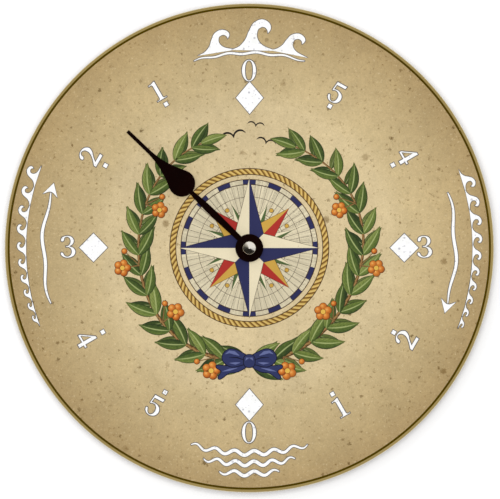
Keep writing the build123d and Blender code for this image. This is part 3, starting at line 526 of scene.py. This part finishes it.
class Prints:
    """Flat shapes gathered in one piece, each a thin closed solid on the dial or on a rear face."""

    def __init__(self, base=face_front, unit=pixel, turned=False):
        self.base = base
        self.unit = unit
        self.turned = turned
        self.points = []
        self.faces = []
        self.across = []
        self.count = 0

    def spread(self, loops, across, layer):
        """Each loop's points on a film's back, then its front; the films of a layer differ by a hair."""
        self.count += 1
        first = len(self.points)
        back = self.base + film_gap
        front = back + film * (layer + 0.03 * (self.count % 31))
        for loop in loops:
            for depth in (back, front):
                for x, z in loop:
                    x, z = x * self.unit, z * self.unit
                    self.points.append((-x, depth, z) if self.turned else (x, -depth, z))
        self.across += [(self.count + share, along) for share, along in across] * 2
        return first

    def wall(self, edge, rise):
        """Faces between a closed edge and the same edge a number of points on."""
        for i in range(len(edge)):
            a, b = edge[i], edge[(i + 1) % len(edge)]
            self.faces.append((a, b, b + rise, a + rise))

    def shape(self, loops, layer):
        """A filled outline with holes."""
        loops = [wound(loop, loop is loops[0]) for loop in loops]
        flat = [point for loop in loops for point in loop]
        total = len(flat)
        first = self.spread([flat], [(0.5, 0.5)] * total, layer)
        sized = [[Vector((x * self.unit, z * self.unit, 0)) for x, z in loop] for loop in loops]
        for triangle in tessellate_polygon(sized):
            for start in (first, first + total):
                self.faces.append([start + corner for corner in triangle])
        for loop in loops:
            self.wall(range(first, first + len(loop)), total)
            first += len(loop)

    def ribbon(self, path, widths, layer, columns=2):
        """A strip along a path; its UV holds its number and runs across and along it."""
        rows = len(path)
        wide = columns + 1
        total = rows * wide
        flat = []
        across = []
        for i in range(rows):
            ahead = (Vector(path[min(i + 1, rows - 1)]) - Vector(path[max(i - 1, 0)])).normalized()
            side = Vector((-ahead.y, ahead.x)) * widths[i]
            for column in range(wide):
                share = column / columns
                flat.append(tuple(Vector(path[i]) + side * (2 * share - 1)))
                across.append((0.01 + 0.98 * share, i / (rows - 1)))
        first = self.spread([flat], across, layer)
        for i in range(rows - 1):
            for column in range(columns):
                a = first + i * wide + column
                for b in (a, a + total):
                    self.faces.append((b, b + wide, b + wide + 1, b + 1))
        edge = list(range(first, first + total, wide))
        edge += range(first + total - columns, first + total)
        edge += range(first + total - 1 - wide, first, -wide)
        edge += range(first + columns - 1, first, -1)
        self.wall(edge, total)

    def band(self, outside, inside, layer):
        """A closed band between two loops of equally many points."""
        count = len(outside)
        first = self.spread([outside, inside], [(0.5, 0.5)] * 2 * count, layer)
        for i in range(count):
            j = (i + 1) % count
            for a, b in ((0, 1), (1, 3), (3, 2), (2, 0)):
                a, b = first + a * count, first + b * count
                self.faces.append((a + i, b + i, b + j, a + j))

    def ring(self, inner, outer, layer):
        """A flat ring round the axis."""
        outside, inside = [[polar(radius, turn) for turn in range(360)] for radius in (outer, inner)]
        self.band(outside, inside, layer)

    def disc(self, middle, radius, layer, steps=20):
        """A round spot whose UV holds its number and runs over its square."""
        turns = [math.tau * i / steps for i in range(steps)]
        spots = [(0, 0)] + [(math.cos(turn), math.sin(turn)) for turn in turns]
        first = self.spread([[(middle[0] + radius * x, middle[1] + radius * z) for x, z in spots]],
                            [(0.5 + 0.49 * x, 0.5 + 0.49 * z) for x, z in spots], layer)
        total = steps + 1
        for i in range(steps):
            for start in (first, first + total):
                self.faces.append((start, start + 1 + i, start + 1 + (i + 1) % steps))
        self.wall(range(first + 1, first + total), total)

    def piece(self, name, material):
        made = mesh_piece(name, self.points, self.faces, material, "clock")
        layer = made.data.uv_layers.new(name="UVMap")
        for loop in made.data.loops:
            layer.data[loop.index].uv = self.across[loop.vertex_index]


# Numerals, in shares of their height, from the baseline up; a third value marks a corner
def oval(half_width, low, high, power):
    loop = []
    for i in range(40):
        turn = math.tau * i / 40
        c, s = math.cos(turn), math.sin(turn)
        x = half_width * math.copysign(abs(c) ** (2 / power), c)
        z = (high - low) / 2 * math.copysign(abs(s) ** (2 / power), s)
        loop.append((x, (low + high) / 2 + z))
    return loop


glyph_shares = {
    "0": [oval(0.335, -0.01, 1.01, 2.0), oval(0.18, 0.035, 0.965, 2.25)],
    "1": [smooth_loop([
        (0.09, 1.0, 1), (0.03, 1.0, 1), (-0.11, 0.95), (-0.28, 0.93, 1), (-0.275, 0.87, 1), (-0.14, 0.885),
        (-0.095, 0.82, 1), (-0.095, 0.12, 1), (-0.125, 0.055), (-0.27, 0.04, 1), (-0.27, 0.0, 1),
        (0.27, 0.0, 1), (0.27, 0.04, 1), (0.125, 0.055), (0.09, 0.12, 1),
    ])],
    "2": [smooth_loop([
        (-0.305, 0.115, 1), (-0.305, 0.0, 1), (0.325, 0.0, 1), (0.34, 0.15, 1),
        (-0.11, 0.15, 1), (0.05, 0.345), (0.23, 0.515), (0.325, 0.73), (0.21, 0.935), (-0.02, 1.01),
        (-0.245, 0.94), (-0.345, 0.79), (-0.32, 0.72), (-0.25, 0.715), (-0.19, 0.78), (-0.165, 0.88),
        (-0.06, 0.955), (0.07, 0.90), (0.135, 0.73), (0.09, 0.54), (-0.05, 0.35),
    ])],
    "3": [smooth_loop([
        (-0.33, 0.82), (-0.285, 0.93), (-0.16, 0.995), (0.0, 1.01), (0.185, 0.95), (0.275, 0.79),
        (0.21, 0.61), (0.075, 0.52, 1), (0.26, 0.44), (0.35, 0.27), (0.275, 0.085), (0.06, -0.01),
        (-0.17, 0.005), (-0.31, 0.10), (-0.345, 0.18), (-0.30, 0.235), (-0.235, 0.20), (-0.16, 0.085),
        (-0.04, 0.035), (0.10, 0.09), (0.175, 0.26), (0.12, 0.42), (-0.03, 0.487), (-0.10, 0.487, 1),
        (-0.10, 0.53, 1), (-0.01, 0.54), (0.085, 0.63), (0.115, 0.78), (0.05, 0.925), (-0.07, 0.96),
        (-0.165, 0.91), (-0.18, 0.82), (-0.25, 0.745), (-0.32, 0.765),
    ])],
    "4": [
        [(0.15, 1.0), (0.04, 1.0), (-0.42, 0.345), (-0.42, 0.25), (-0.03, 0.25), (-0.03, 0.0), (0.15, 0.0),
         (0.15, 0.25), (0.29, 0.25), (0.29, 0.345), (0.15, 0.345)],
        [(-0.03, 0.80), (-0.03, 0.345), (-0.345, 0.345)],
    ],
    "5": [smooth_loop([
        (-0.245, 1.0, 1), (0.285, 1.01, 1), (0.26, 0.865, 1), (-0.195, 0.85, 1), (-0.215, 0.61, 1),
        (-0.10, 0.64), (0.11, 0.61), (0.275, 0.49), (0.325, 0.31), (0.265, 0.13), (0.11, 0.015),
        (-0.08, -0.01), (-0.25, 0.06), (-0.34, 0.20), (-0.335, 0.275), (-0.27, 0.285), (-0.225, 0.21),
        (-0.15, 0.085), (-0.03, 0.035), (0.085, 0.11), (0.135, 0.30), (0.085, 0.49), (-0.06, 0.575),
        (-0.19, 0.56), (-0.245, 0.525, 1), (-0.285, 0.55, 1),
    ])],
}

# Each numeral: the digit, its height, its middle from the disc's middle, its turn, in pixels and degrees
numeral_layout = [
    ("0", 21.3, -0.3, 177.5, 0), ("5", 20.4, 87.7, 154.8, 30), ("4", 20.1, 158.5, 91.1, 60),
    ("3", 21.3, 175.4, 1.3, 0), ("2", 21.0, 157.1, -91.5, -60), ("1", 19.8, 91.3, -159.0, -30),
    ("0", 21.3, -0.3, -184.4, 0), ("5", 20.4, -94.7, -158.0, 30), ("4", 20.1, -162.7, -92.4, 60),
    ("3", 21.3, -181.3, 1.3, 0), ("2", 21.0, -159.2, 91.8, -60), ("1", 19.8, -91.9, 157.2, -30),
]

# Each dot: its clock angle, and its middle from the disc's middle in pixels
dot_layout = [
    (30, 80.5, 141.8), (60, 143.6, 83.0), (120, 144.5, -84.4), (150, 83.2, -146.1),
    (210, -84.2, -144.3), (240, -146.5, -84.0), (300, -143.8, 82.5), (330, -83.2, 143.8),
]

# Each diamond: its middle from the disc's middle and its half width and height, in pixels
diamond_layout = [
    (0.3, 150.2, 13.6, 16.1), (155.0, 0.3, 14.15, 14.2),
    (0.1, -156.7, 13.55, 15.75), (-155.85, 0.45, 14.05, 14.25),
]

white = Prints()
grey = Prints()


def outlined(loops, thinner=0.0):
    """A white shape, made thinner by a distance, over a grey band along its edges."""
    loops = [wound(loop, loop is loops[0]) for loop in loops]
    for loop in loops:
        grey.band(offset_loop(loop, outline_width), offset_loop(loop, -outline_overlap), 2)
    white.shape([offset_loop(loop, -thinner) for loop in loops] if thinner else loops, 3)


def print_numerals():
    """The hours to the next high or low water, counted down twice round the dial."""
    for digit, height, x, z, turn in numeral_layout:
        glyph = [[(px, pz - 0.5) for px, pz in loop] for loop in glyph_shares[digit]]
        outlined(placed(glyph, (x, z), turn, height), numeral_trim)


def print_markers():
    """Small squares at the hours and diamonds at the quarters."""
    square = [(0, 1), (1, 0), (0, -1), (-1, 0)]
    for angle, x, z in dot_layout:
        outlined(placed([square], (x, z), angle + 45, dot_half * math.sqrt(2)))
    for x, z, half_width, half_height in diamond_layout:
        outlined(placed([[(px * half_width, pz * half_height) for px, pz in square]], (x, z)))


crest_share = smooth_loop([
    (0.0, 0.0, 1), (0.20, 0.07), (0.38, 0.28), (0.50, 0.62), (0.63, 0.90), (0.80, 1.0), (0.96, 0.90),
    (1.01, 0.70), (0.955, 0.55, 1), (0.92, 0.68), (0.84, 0.75), (0.74, 0.70), (0.69, 0.54),
    (0.71, 0.34), (0.82, 0.16), (1.10, 0.03), (1.22, 0.0, 1),
])


def print_crests(sizes, ring, angle):
    """A row of breaking waves along a ring; sizes lists each one's pitch and height."""
    x = -sum(pitch for pitch, height in sizes) / 2
    for pitch, height in sizes:
        outlined([around([(x + px * pitch, pz * height) for px, pz in crest_share], ring, angle)])
        x += pitch


def print_swell(length, height, waves, half_width, ring, angle, inward=False):
    """A wavy white stroke with tapered ends over a slightly wider grey one."""
    shares = [i / 80 for i in range(81)]
    path = [(length * (t - 0.5), height * math.sin(math.tau * waves * (t - 0.5))) for t in shares]
    path = around(path, ring, angle, inward)
    widths = [half_width * (0.22 + 0.78 * math.sin(math.pi * t) ** 0.6) for t in shares]
    white.ribbon(path, widths, 3)
    start, end = Vector(path[0]), Vector(path[-1])
    head = (start - Vector(path[1])).normalized() * outline_width
    tail = (end - Vector(path[-2])).normalized() * outline_width
    grey.ribbon([start + head] + path[1:-1] + [end + tail], [width + outline_width for width in widths], 2)


def print_waves():
    """High water at the top, low water at the bottom, and a tide that grows and falls between."""
    print_crests([(33, 21), (38, 30), (33, 21)], 199, 0)
    print_swell(112, 0.9, 4, 1.1, 195, 0)
    for ring, length, waves in ((205, 118, 6), (215.5, 92, 5), (225.5, 60, 3)):
        print_swell(length, 2.3, waves, 1.7, ring, 180, inward=True)
    for side in (-1, 1):
        shares = [step / 9 if side < 0 else 1 - step / 9 for step in range(10)]
        print_crests([(12 + 8 * share, 4.5 + 7.5 * share) for share in shares], 223.5, side * 90)
        print_swell(112, 1.6, 2, 1.5, 206, side * 90)
        head = smooth_loop([(66, 0, 1), (53, 7.5, 1), (57, 0), (53, -7.5, 1)])
        outlined([around(head, 206, side * 90)])


# The ornament in the middle: a compass rose in a rope ring, inside a wreath
def star(tip, valley, turns, light, dark, lines, layer):
    """Points of a compass star, each with a dark half and a light half, over a dark outline."""
    spread = 180 / len(turns)
    for turn in turns:
        top, left, right = polar(tip, turn), polar(valley, turn - spread), polar(valley, turn + spread)
        dark.shape([[top, (0, 0), right]], layer)
        light.shape([[top, (0, 0), left]], layer)
        lines.shape([offset_loop([(0, 0), right, top, left], 1.3 * line_half)], layer - 1)


def print_compass():
    """A compass rose on a pale disc, with a scale of blocks and fine rays."""
    sepia, navy, cream, gold, red, green, rope = [Prints() for kind in range(7)]
    rope.ring(rope_inner, rope_outer, 1)
    cream.ring(bare_radius, scale_outer, 0)
    for radius in (rope_inner, rope_outer, scale_inner, scale_outer):
        sepia.ring(radius - line_half, radius + line_half, 2)
    for radius in (34, 36.5, 51):
        sepia.ring(radius - line_half / 2, radius + line_half / 2, 1)
    pitch = 360 / 64
    for ray in range(64):
        turn = pitch * ray
        if ray % 4 == 0:
            arc = [polar(scale_outer, turn - pitch + i * pitch / 3) for i in range(7)]
            navy.shape([arc + [polar(scale_inner, turn + pitch - i * pitch / 3) for i in range(7)]], 1)
        near = 36.5 if ray % 2 else 24
        sepia.ribbon([polar(near, turn), polar(63, turn)], [line_half / 2.4] * 2, 1)
    star(47, 17, [22.5 + 45 * i for i in range(8)], cream, green, sepia, 4)
    star(56, 19, [45 + 90 * i for i in range(4)], gold, red, sepia, 6)
    star(69.5, 20, [90 * i for i in range(4)], cream, navy, sepia, 8)
    for turn in [45 + 90 * quarter + 14.5 * step for quarter in range(4) for step in (-1, 1)]:
        gold.disc(polar(43.5, turn), 1.9, 3)
        sepia.disc(polar(43.5, turn), 1.9 + line_half, 2)
    sepia.piece("compass_lines_print", ink("sepia_ink", (66, 46, 26)))
    for name, prints, tint, speck in (
        ("navy", navy, (44, 46, 84), (90, 92, 120)), ("cream", cream, (226, 214, 182), (170, 150, 112)),
        ("gold", gold, (196, 156, 70), (140, 106, 48)), ("red", red, (166, 48, 42), (120, 40, 36)),
        ("green", green, (78, 98, 56), (50, 64, 38)),
    ):
        prints.piece("compass_" + name + "_print", ink(name + "_ink", tint, speck))
    rope.piece("compass_rope_print", finish_rope())


def twig(side, share):
    """A point on a branch and its clock angle; share runs from the cut end to the tip."""
    angle = side * (193 - 171 * share)
    wander = 2.2 * math.sin(share * 9.5 + side) + 13 * max(0.0, 0.07 - share) / 0.07
    return polar(wreath_ring + wander, angle), angle


def leaf(target, base, heading, length, half_width, bend, layer):
    """A pointed leaf from a base along a heading in degrees, which turns by bend to its tip."""
    path = [Vector(base)]
    widths = []
    for t in [i / 12 for i in range(12)]:
        path.append(path[-1] + Vector(polar(length / 12, heading + bend * t)))
        widths.append(half_width * (0.05 + 0.95 * math.sin(math.pi * min(1.0, 0.03 + t) ** 0.85) ** 0.9))
    target.ribbon(path, widths + [0.02 * half_width], layer)


def blossom(petals, dots, hearts, spot, radius, turn, layer):
    """A flower of five round petals with a gold heart, over a dark outline."""
    for step in range(5):
        x, z = polar(0.56 * radius, turn + 72 * step)
        middle = (spot[0] + x, spot[1] + z)
        dots.disc(middle, 0.42 * radius + line_half, layer, 16)
        petals.disc(middle, 0.42 * radius, layer + 1.2)
    dots.disc(spot, 0.27 * radius + 0.8 * line_half, layer + 2.4, 16)
    hearts.disc(spot, 0.27 * radius, layer + 3.6, 16)


def print_wreath():
    """Two leafy branches with orange blossoms, crossed and tied at the bottom."""
    draw = random.Random(11)
    bark, behind, leaves, petals, dots, hearts = [Prints() for kind in range(6)]
    leaf_count = 15
    for side in (1, -1):
        path = [twig(side, i / 90)[0] for i in range(91)]
        bark.ribbon(path, [2.4 - 1.7 * i / 90 for i in range(91)], 3 if side > 0 else 4, columns=4)
        for i in range(leaf_count):
            share = 0.085 + 0.87 * i / (leaf_count - 1)
            base, angle = twig(side, share)
            later, later_angle = twig(side, share + 0.03)
            forward = angle - side * 90
            for out in (1, -1):
                turn = out * side * (40 + draw.uniform(-7, 7))
                size = (1 - 0.22 * share) * draw.uniform(0.9, 1.08)
                leaf(behind, later, forward + turn * 1.3, 27 * size, 4.6 * size, -0.3 * turn, 1)
                leaf(leaves, base, forward + turn, 36 * size, 6.2 * size, -0.55 * turn, 5)
            if i % 3 == 1 and i < leaf_count - 2:
                out = 1 if i % 2 else -1
                spot = polar(wreath_ring + out * 15.5, later_angle)
                bud = polar(wreath_ring + out * 12, later_angle - side * 7.5)
                bark.ribbon([later, spot], [0.7, 0.5], 6)
                bark.ribbon([later, bud], [0.6, 0.4], 6)
                blossom(petals, dots, hearts, spot, 9.6 - 1.8 * share, draw.uniform(0, 72), 8)
                dots.disc(bud, 2.7 + line_half, 8)
                petals.disc(bud, 2.7, 9.2)
        tip, angle = twig(side, 0.985)
        leaf(leaves, tip, angle - side * 90, 27, 5, -side * 14, 6)
    bark.piece("wreath_twig_print", finish_bark())
    behind.piece("wreath_leaf_behind_print", finish_leaf("leaf_shade_ink", 0.4))
    leaves.piece("wreath_leaf_print", finish_leaf("leaf_ink", 0.0))
    petals.piece("blossom_print", finish_petal())
    hearts.piece("blossom_heart_print", ink("heart_ink", (222, 178, 78), (140, 92, 30)))
    dots.piece("blossom_line_print", ink("blossom_line_ink", (70, 36, 18)))


def print_bow():
    """A blue ribbon tied over the crossing of the branches."""
    fill, line, shine = [Prints() for kind in range(3)]
    parts = [
        [(2, -2), (10, -10), (20, -12), (31, -17), (28, -10), (33, -6), (22, -5), (12, -3)],
        [(0, 0), (9, 9), (22, 11), (27, 3), (20, -5), (8, -4)],
        [(-5.5, 0), (-4.5, 4.5), (4.5, 4.5), (5.5, 0), (4.5, -4.5), (-4.5, -4.5)],
    ]
    lights = [
        (18.5, [0.255, 1.7, 1.36, 0.17], [(10, 5.5), (15, 8.2), (20, 9.2), (24, 7)]),
        (18.5, [0.18, 1.2, 0.12], [(9, -1.6), (14, -2.4), (20, -2)]),
        (15.5, [0.165, 1.1, 0.11], [(12, -7), (20, -8.8), (27, -10.5)]),
        (21.5, [0.15, 1.0, 0.1], [(0, 3.2), (2.6, 2.6), (3.8, 0.5)]),
    ]

    def hung(points, side):
        return [(side * x, z - wreath_ring) for x, z in points]

    for side in (-1, 1):
        for level, part in enumerate(parts if side > 0 else parts[:2]):
            loop = wound(smooth_loop(hung(part, side), 8))
            fill.shape([loop], 14 + 3 * level)
            line.shape([offset_loop(loop, 0.8)], 13 + 3 * level)
        for layer, widths, curve in lights:
            shine.ribbon(hung(curve, side), widths, layer)
        line.ribbon(hung([(5, 1), (12, 3.4), (20, 3.6)], side), [0.3, 0.6, 0.2], 21)
    fill.piece("bow_print", ink("ribbon_ink", (46, 52, 92), (96, 102, 140)))
    line.piece("bow_line_print", ink("ribbon_line_ink", (22, 22, 40)))
    shine.piece("bow_shine_print", ink("ribbon_shine_ink", (98, 106, 150)))


def print_gulls():
    """Three gulls in black ink between the tips of the branches."""
    black = Prints()
    wing = [(0.16, 0.20), (0.42, 0.34), (0.72, 0.30), (1.0, 0.10, 1), (0.78, 0.42), (0.44, 0.50),
            (0.16, 0.38)]
    left = [(-point[0], *point[1:]) for point in reversed(wing)]
    gull = smooth_loop([(0.0, -0.10, 1)] + wing + [(0.0, 0.20, 1)] + left)
    for angle, ring, size, tilt in ((-8, 112, 13, -12), (3, 122, 9, 8), (9, 106, 10.5, 14)):
        black.shape(placed([gull], polar(ring, angle), tilt, size), 2)
    black.piece("gull_print", ink("black_ink", (34, 28, 24)))


def print_rear_label():
    """A paper label in the rear cover's panel, with a drawing of how the cell lies."""
    paper, dark = [Prints(label_floor, mm, turned=True) for kind in range(2)]
    x0, x1, z0, z1, r = -1.3, 22.3, 7.7, 20.3, 1.2
    corners = [(x1 - r, z1 - r), (x0 + r, z1 - r), (x0 + r, z0 + r), (x1 - r, z0 + r)]
    loop = []
    for quarter, (x, z) in enumerate(corners):
        turns = [math.radians(90 * quarter + 15 * step) for step in range(7)]
        loop += [(x + r * math.cos(turn), z + r * math.sin(turn)) for turn in turns]
    paper.shape([loop], 4)
    body = [(-8, -3.2), (8, -3.2), (8, -1.2), (8.9, -1.2), (8.9, 1.2), (8, 1.2), (8, 3.2), (-8, 3.2)]
    for loops in (
        [body, rectangle(-7.6, 7.6, -2.8, 2.8)], [rectangle(-6.1, -3.7, -0.25, 0.25)],
        [rectangle(3.7, 6.1, -0.25, 0.25)], [rectangle(4.65, 5.15, 0.25, 1.2)],
        [rectangle(4.65, 5.15, -1.2, -0.25)],
    ):
        dark.shape(placed(loops, ((x0 + x1) / 2, (z0 + z1) / 2)), 6)
    paper.piece("rear_label", ink("label_paper", (216, 214, 206), (196, 192, 180)))
    dark.piece("rear_label_print", ink("label_ink", (44, 44, 48)))


def cell_plate(x0, x1, start, end, points, faces):
    """A thin closed plate bent round the cell, between two turns in degrees from its rear."""
    steps = 8
    wide = steps + 1
    a, b, c, d = [len(points) + wide * row for row in range(4)]
    for radius in (cell_radius + film_gap, cell_radius + film_gap + film):
        for x in (x0, x1):
            for step in range(wide):
                turn = math.radians(start + (end - start) * step / steps)
                out, up = radius * math.cos(turn), radius * math.sin(turn)
                points.append((x, cell_middle.y + out, cell_middle.z + up))
    for i in range(steps):
        for p, q in ((b, a), (c, d), (d, b), (a, c)):
            faces.append((p + i, p + i + 1, q + i + 1, q + i))
    faces.append((a, b, d, c))
    faces.append((c + steps, d + steps, b + steps, a + steps))


def print_cell_marks():
    """A plus and a minus sign on the cell's sleeve, towards the rear."""
    points = []
    faces = []
    plus, minus, half, bar = [value * mm for value in (-19.0, 19.0, 1.9, 0.4)]
    tall = math.degrees(half / cell_radius)
    low = math.degrees(bar / cell_radius)
    for x, reach, start, end in (
        (plus, half, -low, low), (minus, half, -low, low), (plus, bar, low, tall), (plus, bar, -tall, -low),
    ):
        cell_plate(x - reach, x + reach, start, end, points, faces)
    mesh_piece("cell_marks", points, faces, ink("cell_mark_ink", (228, 226, 218)), "battery")


# The face, the board and all that is printed
print_numerals()
print_markers()
print_waves()
white.piece("white_print", finish_white())
grey.piece("grey_outline_print", ink("grey_ink", (110, 104, 98)))
print_compass()
print_wreath()
print_bow()
print_gulls()

rim_line = Prints(unit=mm)
rim_line.ring(130.62, 131.74, 2)
rim_line.piece("rim_line_print", ink("olive_ink", (72, 56, 0), specular=0.04))
rim_band = Prints(unit=mm)
rim_band.ring(131.74, face_radius / mm, 2)
rim_band.piece("rim_band_print", ink("gold_band_ink", (154, 134, 82), specular=0.08))

lathe("printed_face", [
    (hole_radius, face_back), (face_radius, face_back), (face_radius, face_front), (hole_radius, face_front),
], finish_parchment(), "dial_face")
lathe("board", [
    (hole_radius, board_back), (dial_radius - board_bevel / 2, board_back),
    (dial_radius, board_back + board_bevel / 2), (dial_radius, face_back - board_bevel),
    (face_radius, face_back), (hole_radius, face_back),
], finish_hardboard(), "dial_board")

print_rear_label()
print_cell_marks()

# Hand, cap nut and movement: each finish, and the nodes that have it
for finish, names in (
    (plain("rubber", (38, 37, 36), 0.85, tone=0.15, relief=0.02 * mm), ["rubber_washer"]),
    (plain("brass", (202, 176, 112), 0.3, metallic=1.0, tone=0.06), [
        "brass_washer", "hex_nut", "hand_bushing",
    ]),
    (finish_thread(), ["threaded_bush"]),
    (plain("zinc_steel", (176, 178, 180), 0.36, metallic=1.0, tone=0.08, stretch=(1, 1, 0.1)), [
        "hanger_plate", "tide_shaft", "centre_arbor", "stator", "coil_core", "stator_screws",
        "positive_contact", "negative_contact",
    ]),
    (plain("black_plastic", (34, 34, 36), tone=0.1, grain=3000, relief=0.015 * mm), [
        "case_front", "rear_cover", "set_knob", "control_chip",
    ]),
    (plain("white_plastic", (232, 229, 220), 0.4, tone=0.03, relief=0.004 * mm), [
        "middle_plate", "train_bridge", "tide_wheel", "minute_wheel", "centre_wheel", "third_wheel",
        "fourth_wheel", "fifth_wheel", "rotor_pinion", "coil_bobbin", "setting_arbor",
    ]),
    (plain("black_paint", (11, 1, 0), 0.55, specular=0.035, tone=0.3, relief=0.004 * mm), ["tide_hand"]),
    (plain("chrome", (226, 220, 210), 0.19, metallic=1.0, tone=0.02, rough_swing=0.03), [
        "cap_nut", "quartz_crystal",
    ]),
    (plain("copper_wire", (196, 128, 84), 0.34, metallic=0.85, tone=0.14, grain=4000, stretch=(6, 1, 1)), [
        "coil_winding",
    ]),
    (plain("magnet", (58, 56, 55), 0.55, metallic=0.6, tone=0.12), ["rotor_magnet"]),
    (plain("circuit_green", (38, 92, 56), 0.35, tone=0.12), ["circuit_board"]),
    (finish_cell(), ["aa_battery"]),
):
    for name in names:
        nodes[name].data.materials.clear()
        nodes[name].data.materials.append(finish.material)

# Stage: a white wall that shows from the front only, and a pale floor
floor_height = -0.141
wall_y = 0.0006
far = 9.0


def stage_plane(name, low, high, material, hidden):
    """A rectangle square to the axes between two corners, and the kinds of ray that it is hidden from."""
    first, last = [axis for axis in range(3) if low[axis] != high[axis]]
    corners = [list(low), list(low), list(high), list(low)]
    corners[1][first] = high[first]
    corners[3][last] = high[last]
    mesh = bpy.data.meshes.new(name)
    mesh.from_pydata(corners, [], [(0, 1, 2, 3)])
    mesh.materials.append(material)
    made = add(name, mesh)
    for kind in hidden:
        setattr(made, "visible_" + kind, False)


def finish_backdrop(name, albedo, glow, tint, one_sided=False):
    """White with a part of its own light, so that it stays white but holds a soft shadow."""
    made = Finish(name, 0.9, specular=0.0)
    made.put("Base Color", (albedo, albedo, albedo, 1.0))
    made.put("Emission Color", tint)
    made.put("Emission Strength", glow)
    if one_sided:
        behind = made.take("NewGeometry", output="Backfacing")
        clear = made.take("BsdfTransparent")
        blend = made.take("MixShader", {0: behind, 1: made.shader.outputs[0], 2: clear})
        made.feed(made.tree.nodes["Material Output"].inputs["Surface"], blend)
    return made.material


def finish_side_card():
    """Dark near the floor, and paler towards its upper edge."""
    made = Finish("card_side", 0.9, specular=0.0)
    return made.colour(made.ramp(made.parts(made.place())[2], [
        (0.05, (60, 58, 54)), (0.32, (150, 146, 138)), (0.9, (226, 222, 214)),
    ]))


stage_plane("wall", (-far, wall_y, -far), (far, wall_y, far),
            finish_backdrop("wall_white", 0.95, 0.135, (0.75, 0.9, 1.0, 1.0), one_sided=True),
            ["diffuse", "shadow", "glossy", "transmission"])
stage_plane("floor", (-far, -far, floor_height), (far, far, floor_height),
            finish_backdrop("floor_white", 0.6, 0.4, (1.0, 1.0, 1.0, 1.0)), ["diffuse", "shadow"])

# Cards that only glossy surfaces show: a dark one on the floor, one at the left that grows
# paler upwards, and a grey one behind the camera
card_height = floor_height + 0.0015
for name, low, high, material in (
    ("dark_card", (-1.4, -1.6, card_height), (0.275, -0.04, card_height),
     plain("card_dark", (52, 50, 46), 0.9, specular=0.0).material),
    ("grey_card", (-0.55, -1.6, card_height), (-0.55, -0.04, 0.95), finish_side_card()),
    ("front_card", (-0.36, -2.7, -0.36), (0.36, -2.7, 0.36),
     plain("card_front", (150, 148, 142), 0.9, specular=0.0).material),
):
    stage_plane(name, low, high, material, ["camera", "diffuse", "shadow", "transmission"])

# Light: a pale world that looks brighter than it shines, and four square lamps
world = bpy.data.worlds.new("studio")
bpy.context.scene.world = world
world.use_nodes = True
sky = Nodes(world.node_tree)
background = sky.tree.nodes["Background"]
sky.feed(background.inputs["Color"], (1.0, 1.0, 1.0, 1.0))
rays = sky.node("LightPath").outputs
seen = sky.math("MAXIMUM", rays["Is Camera Ray"], rays["Is Glossy Ray"])
sky.feed(background.inputs["Strength"], sky.take("MapRange", {"Value": seen, "To Min": 0.42, "To Max": 1.0}))


def lamp(name, place, size, power, mirrored=True):
    """A square lamp that points at the clock."""
    light = bpy.data.lights.new(name, "AREA")
    light.size = size
    light.energy = power
    made = add(name, light)
    made.location = place
    made.rotation_mode = "QUATERNION"
    made.rotation_quaternion = (-Vector(place)).to_track_quat("-Z", "Y")
    made.visible_glossy = mirrored


lamp("key", (0.0, -1.85, 0.03), 0.33, 16.5, mirrored=False)
lamp("fill", (-0.35, -2.4, 0.4), 1.0, 11, mirrored=False)
lamp("back_left", (-1.4, 2.2, 1.3), 1.2, 34)
lamp("back_right", (1.5, 2.0, 0.9), 1.2, 20)

# Camera, straight before the dial
camera_distance = 2.4
camera_data = bpy.data.cameras.new("camera")
camera_data.sensor_width = 36.0
camera_data.lens = camera_data.sensor_width * camera_distance / (photo_width * pixel)
camera_data.clip_end = 50.0
camera = add("camera", camera_data)
camera.location = (
    (photo_width / 2 - disc_middle[0]) * pixel,
    -face_front - camera_distance,
    (disc_middle[1] - photo_height / 2) * pixel,
)
camera.rotation_euler = (math.radians(90), 0, 0)
bpy.context.scene.camera = camera

bpy.context.scene.view_settings.view_transform = "Standard"
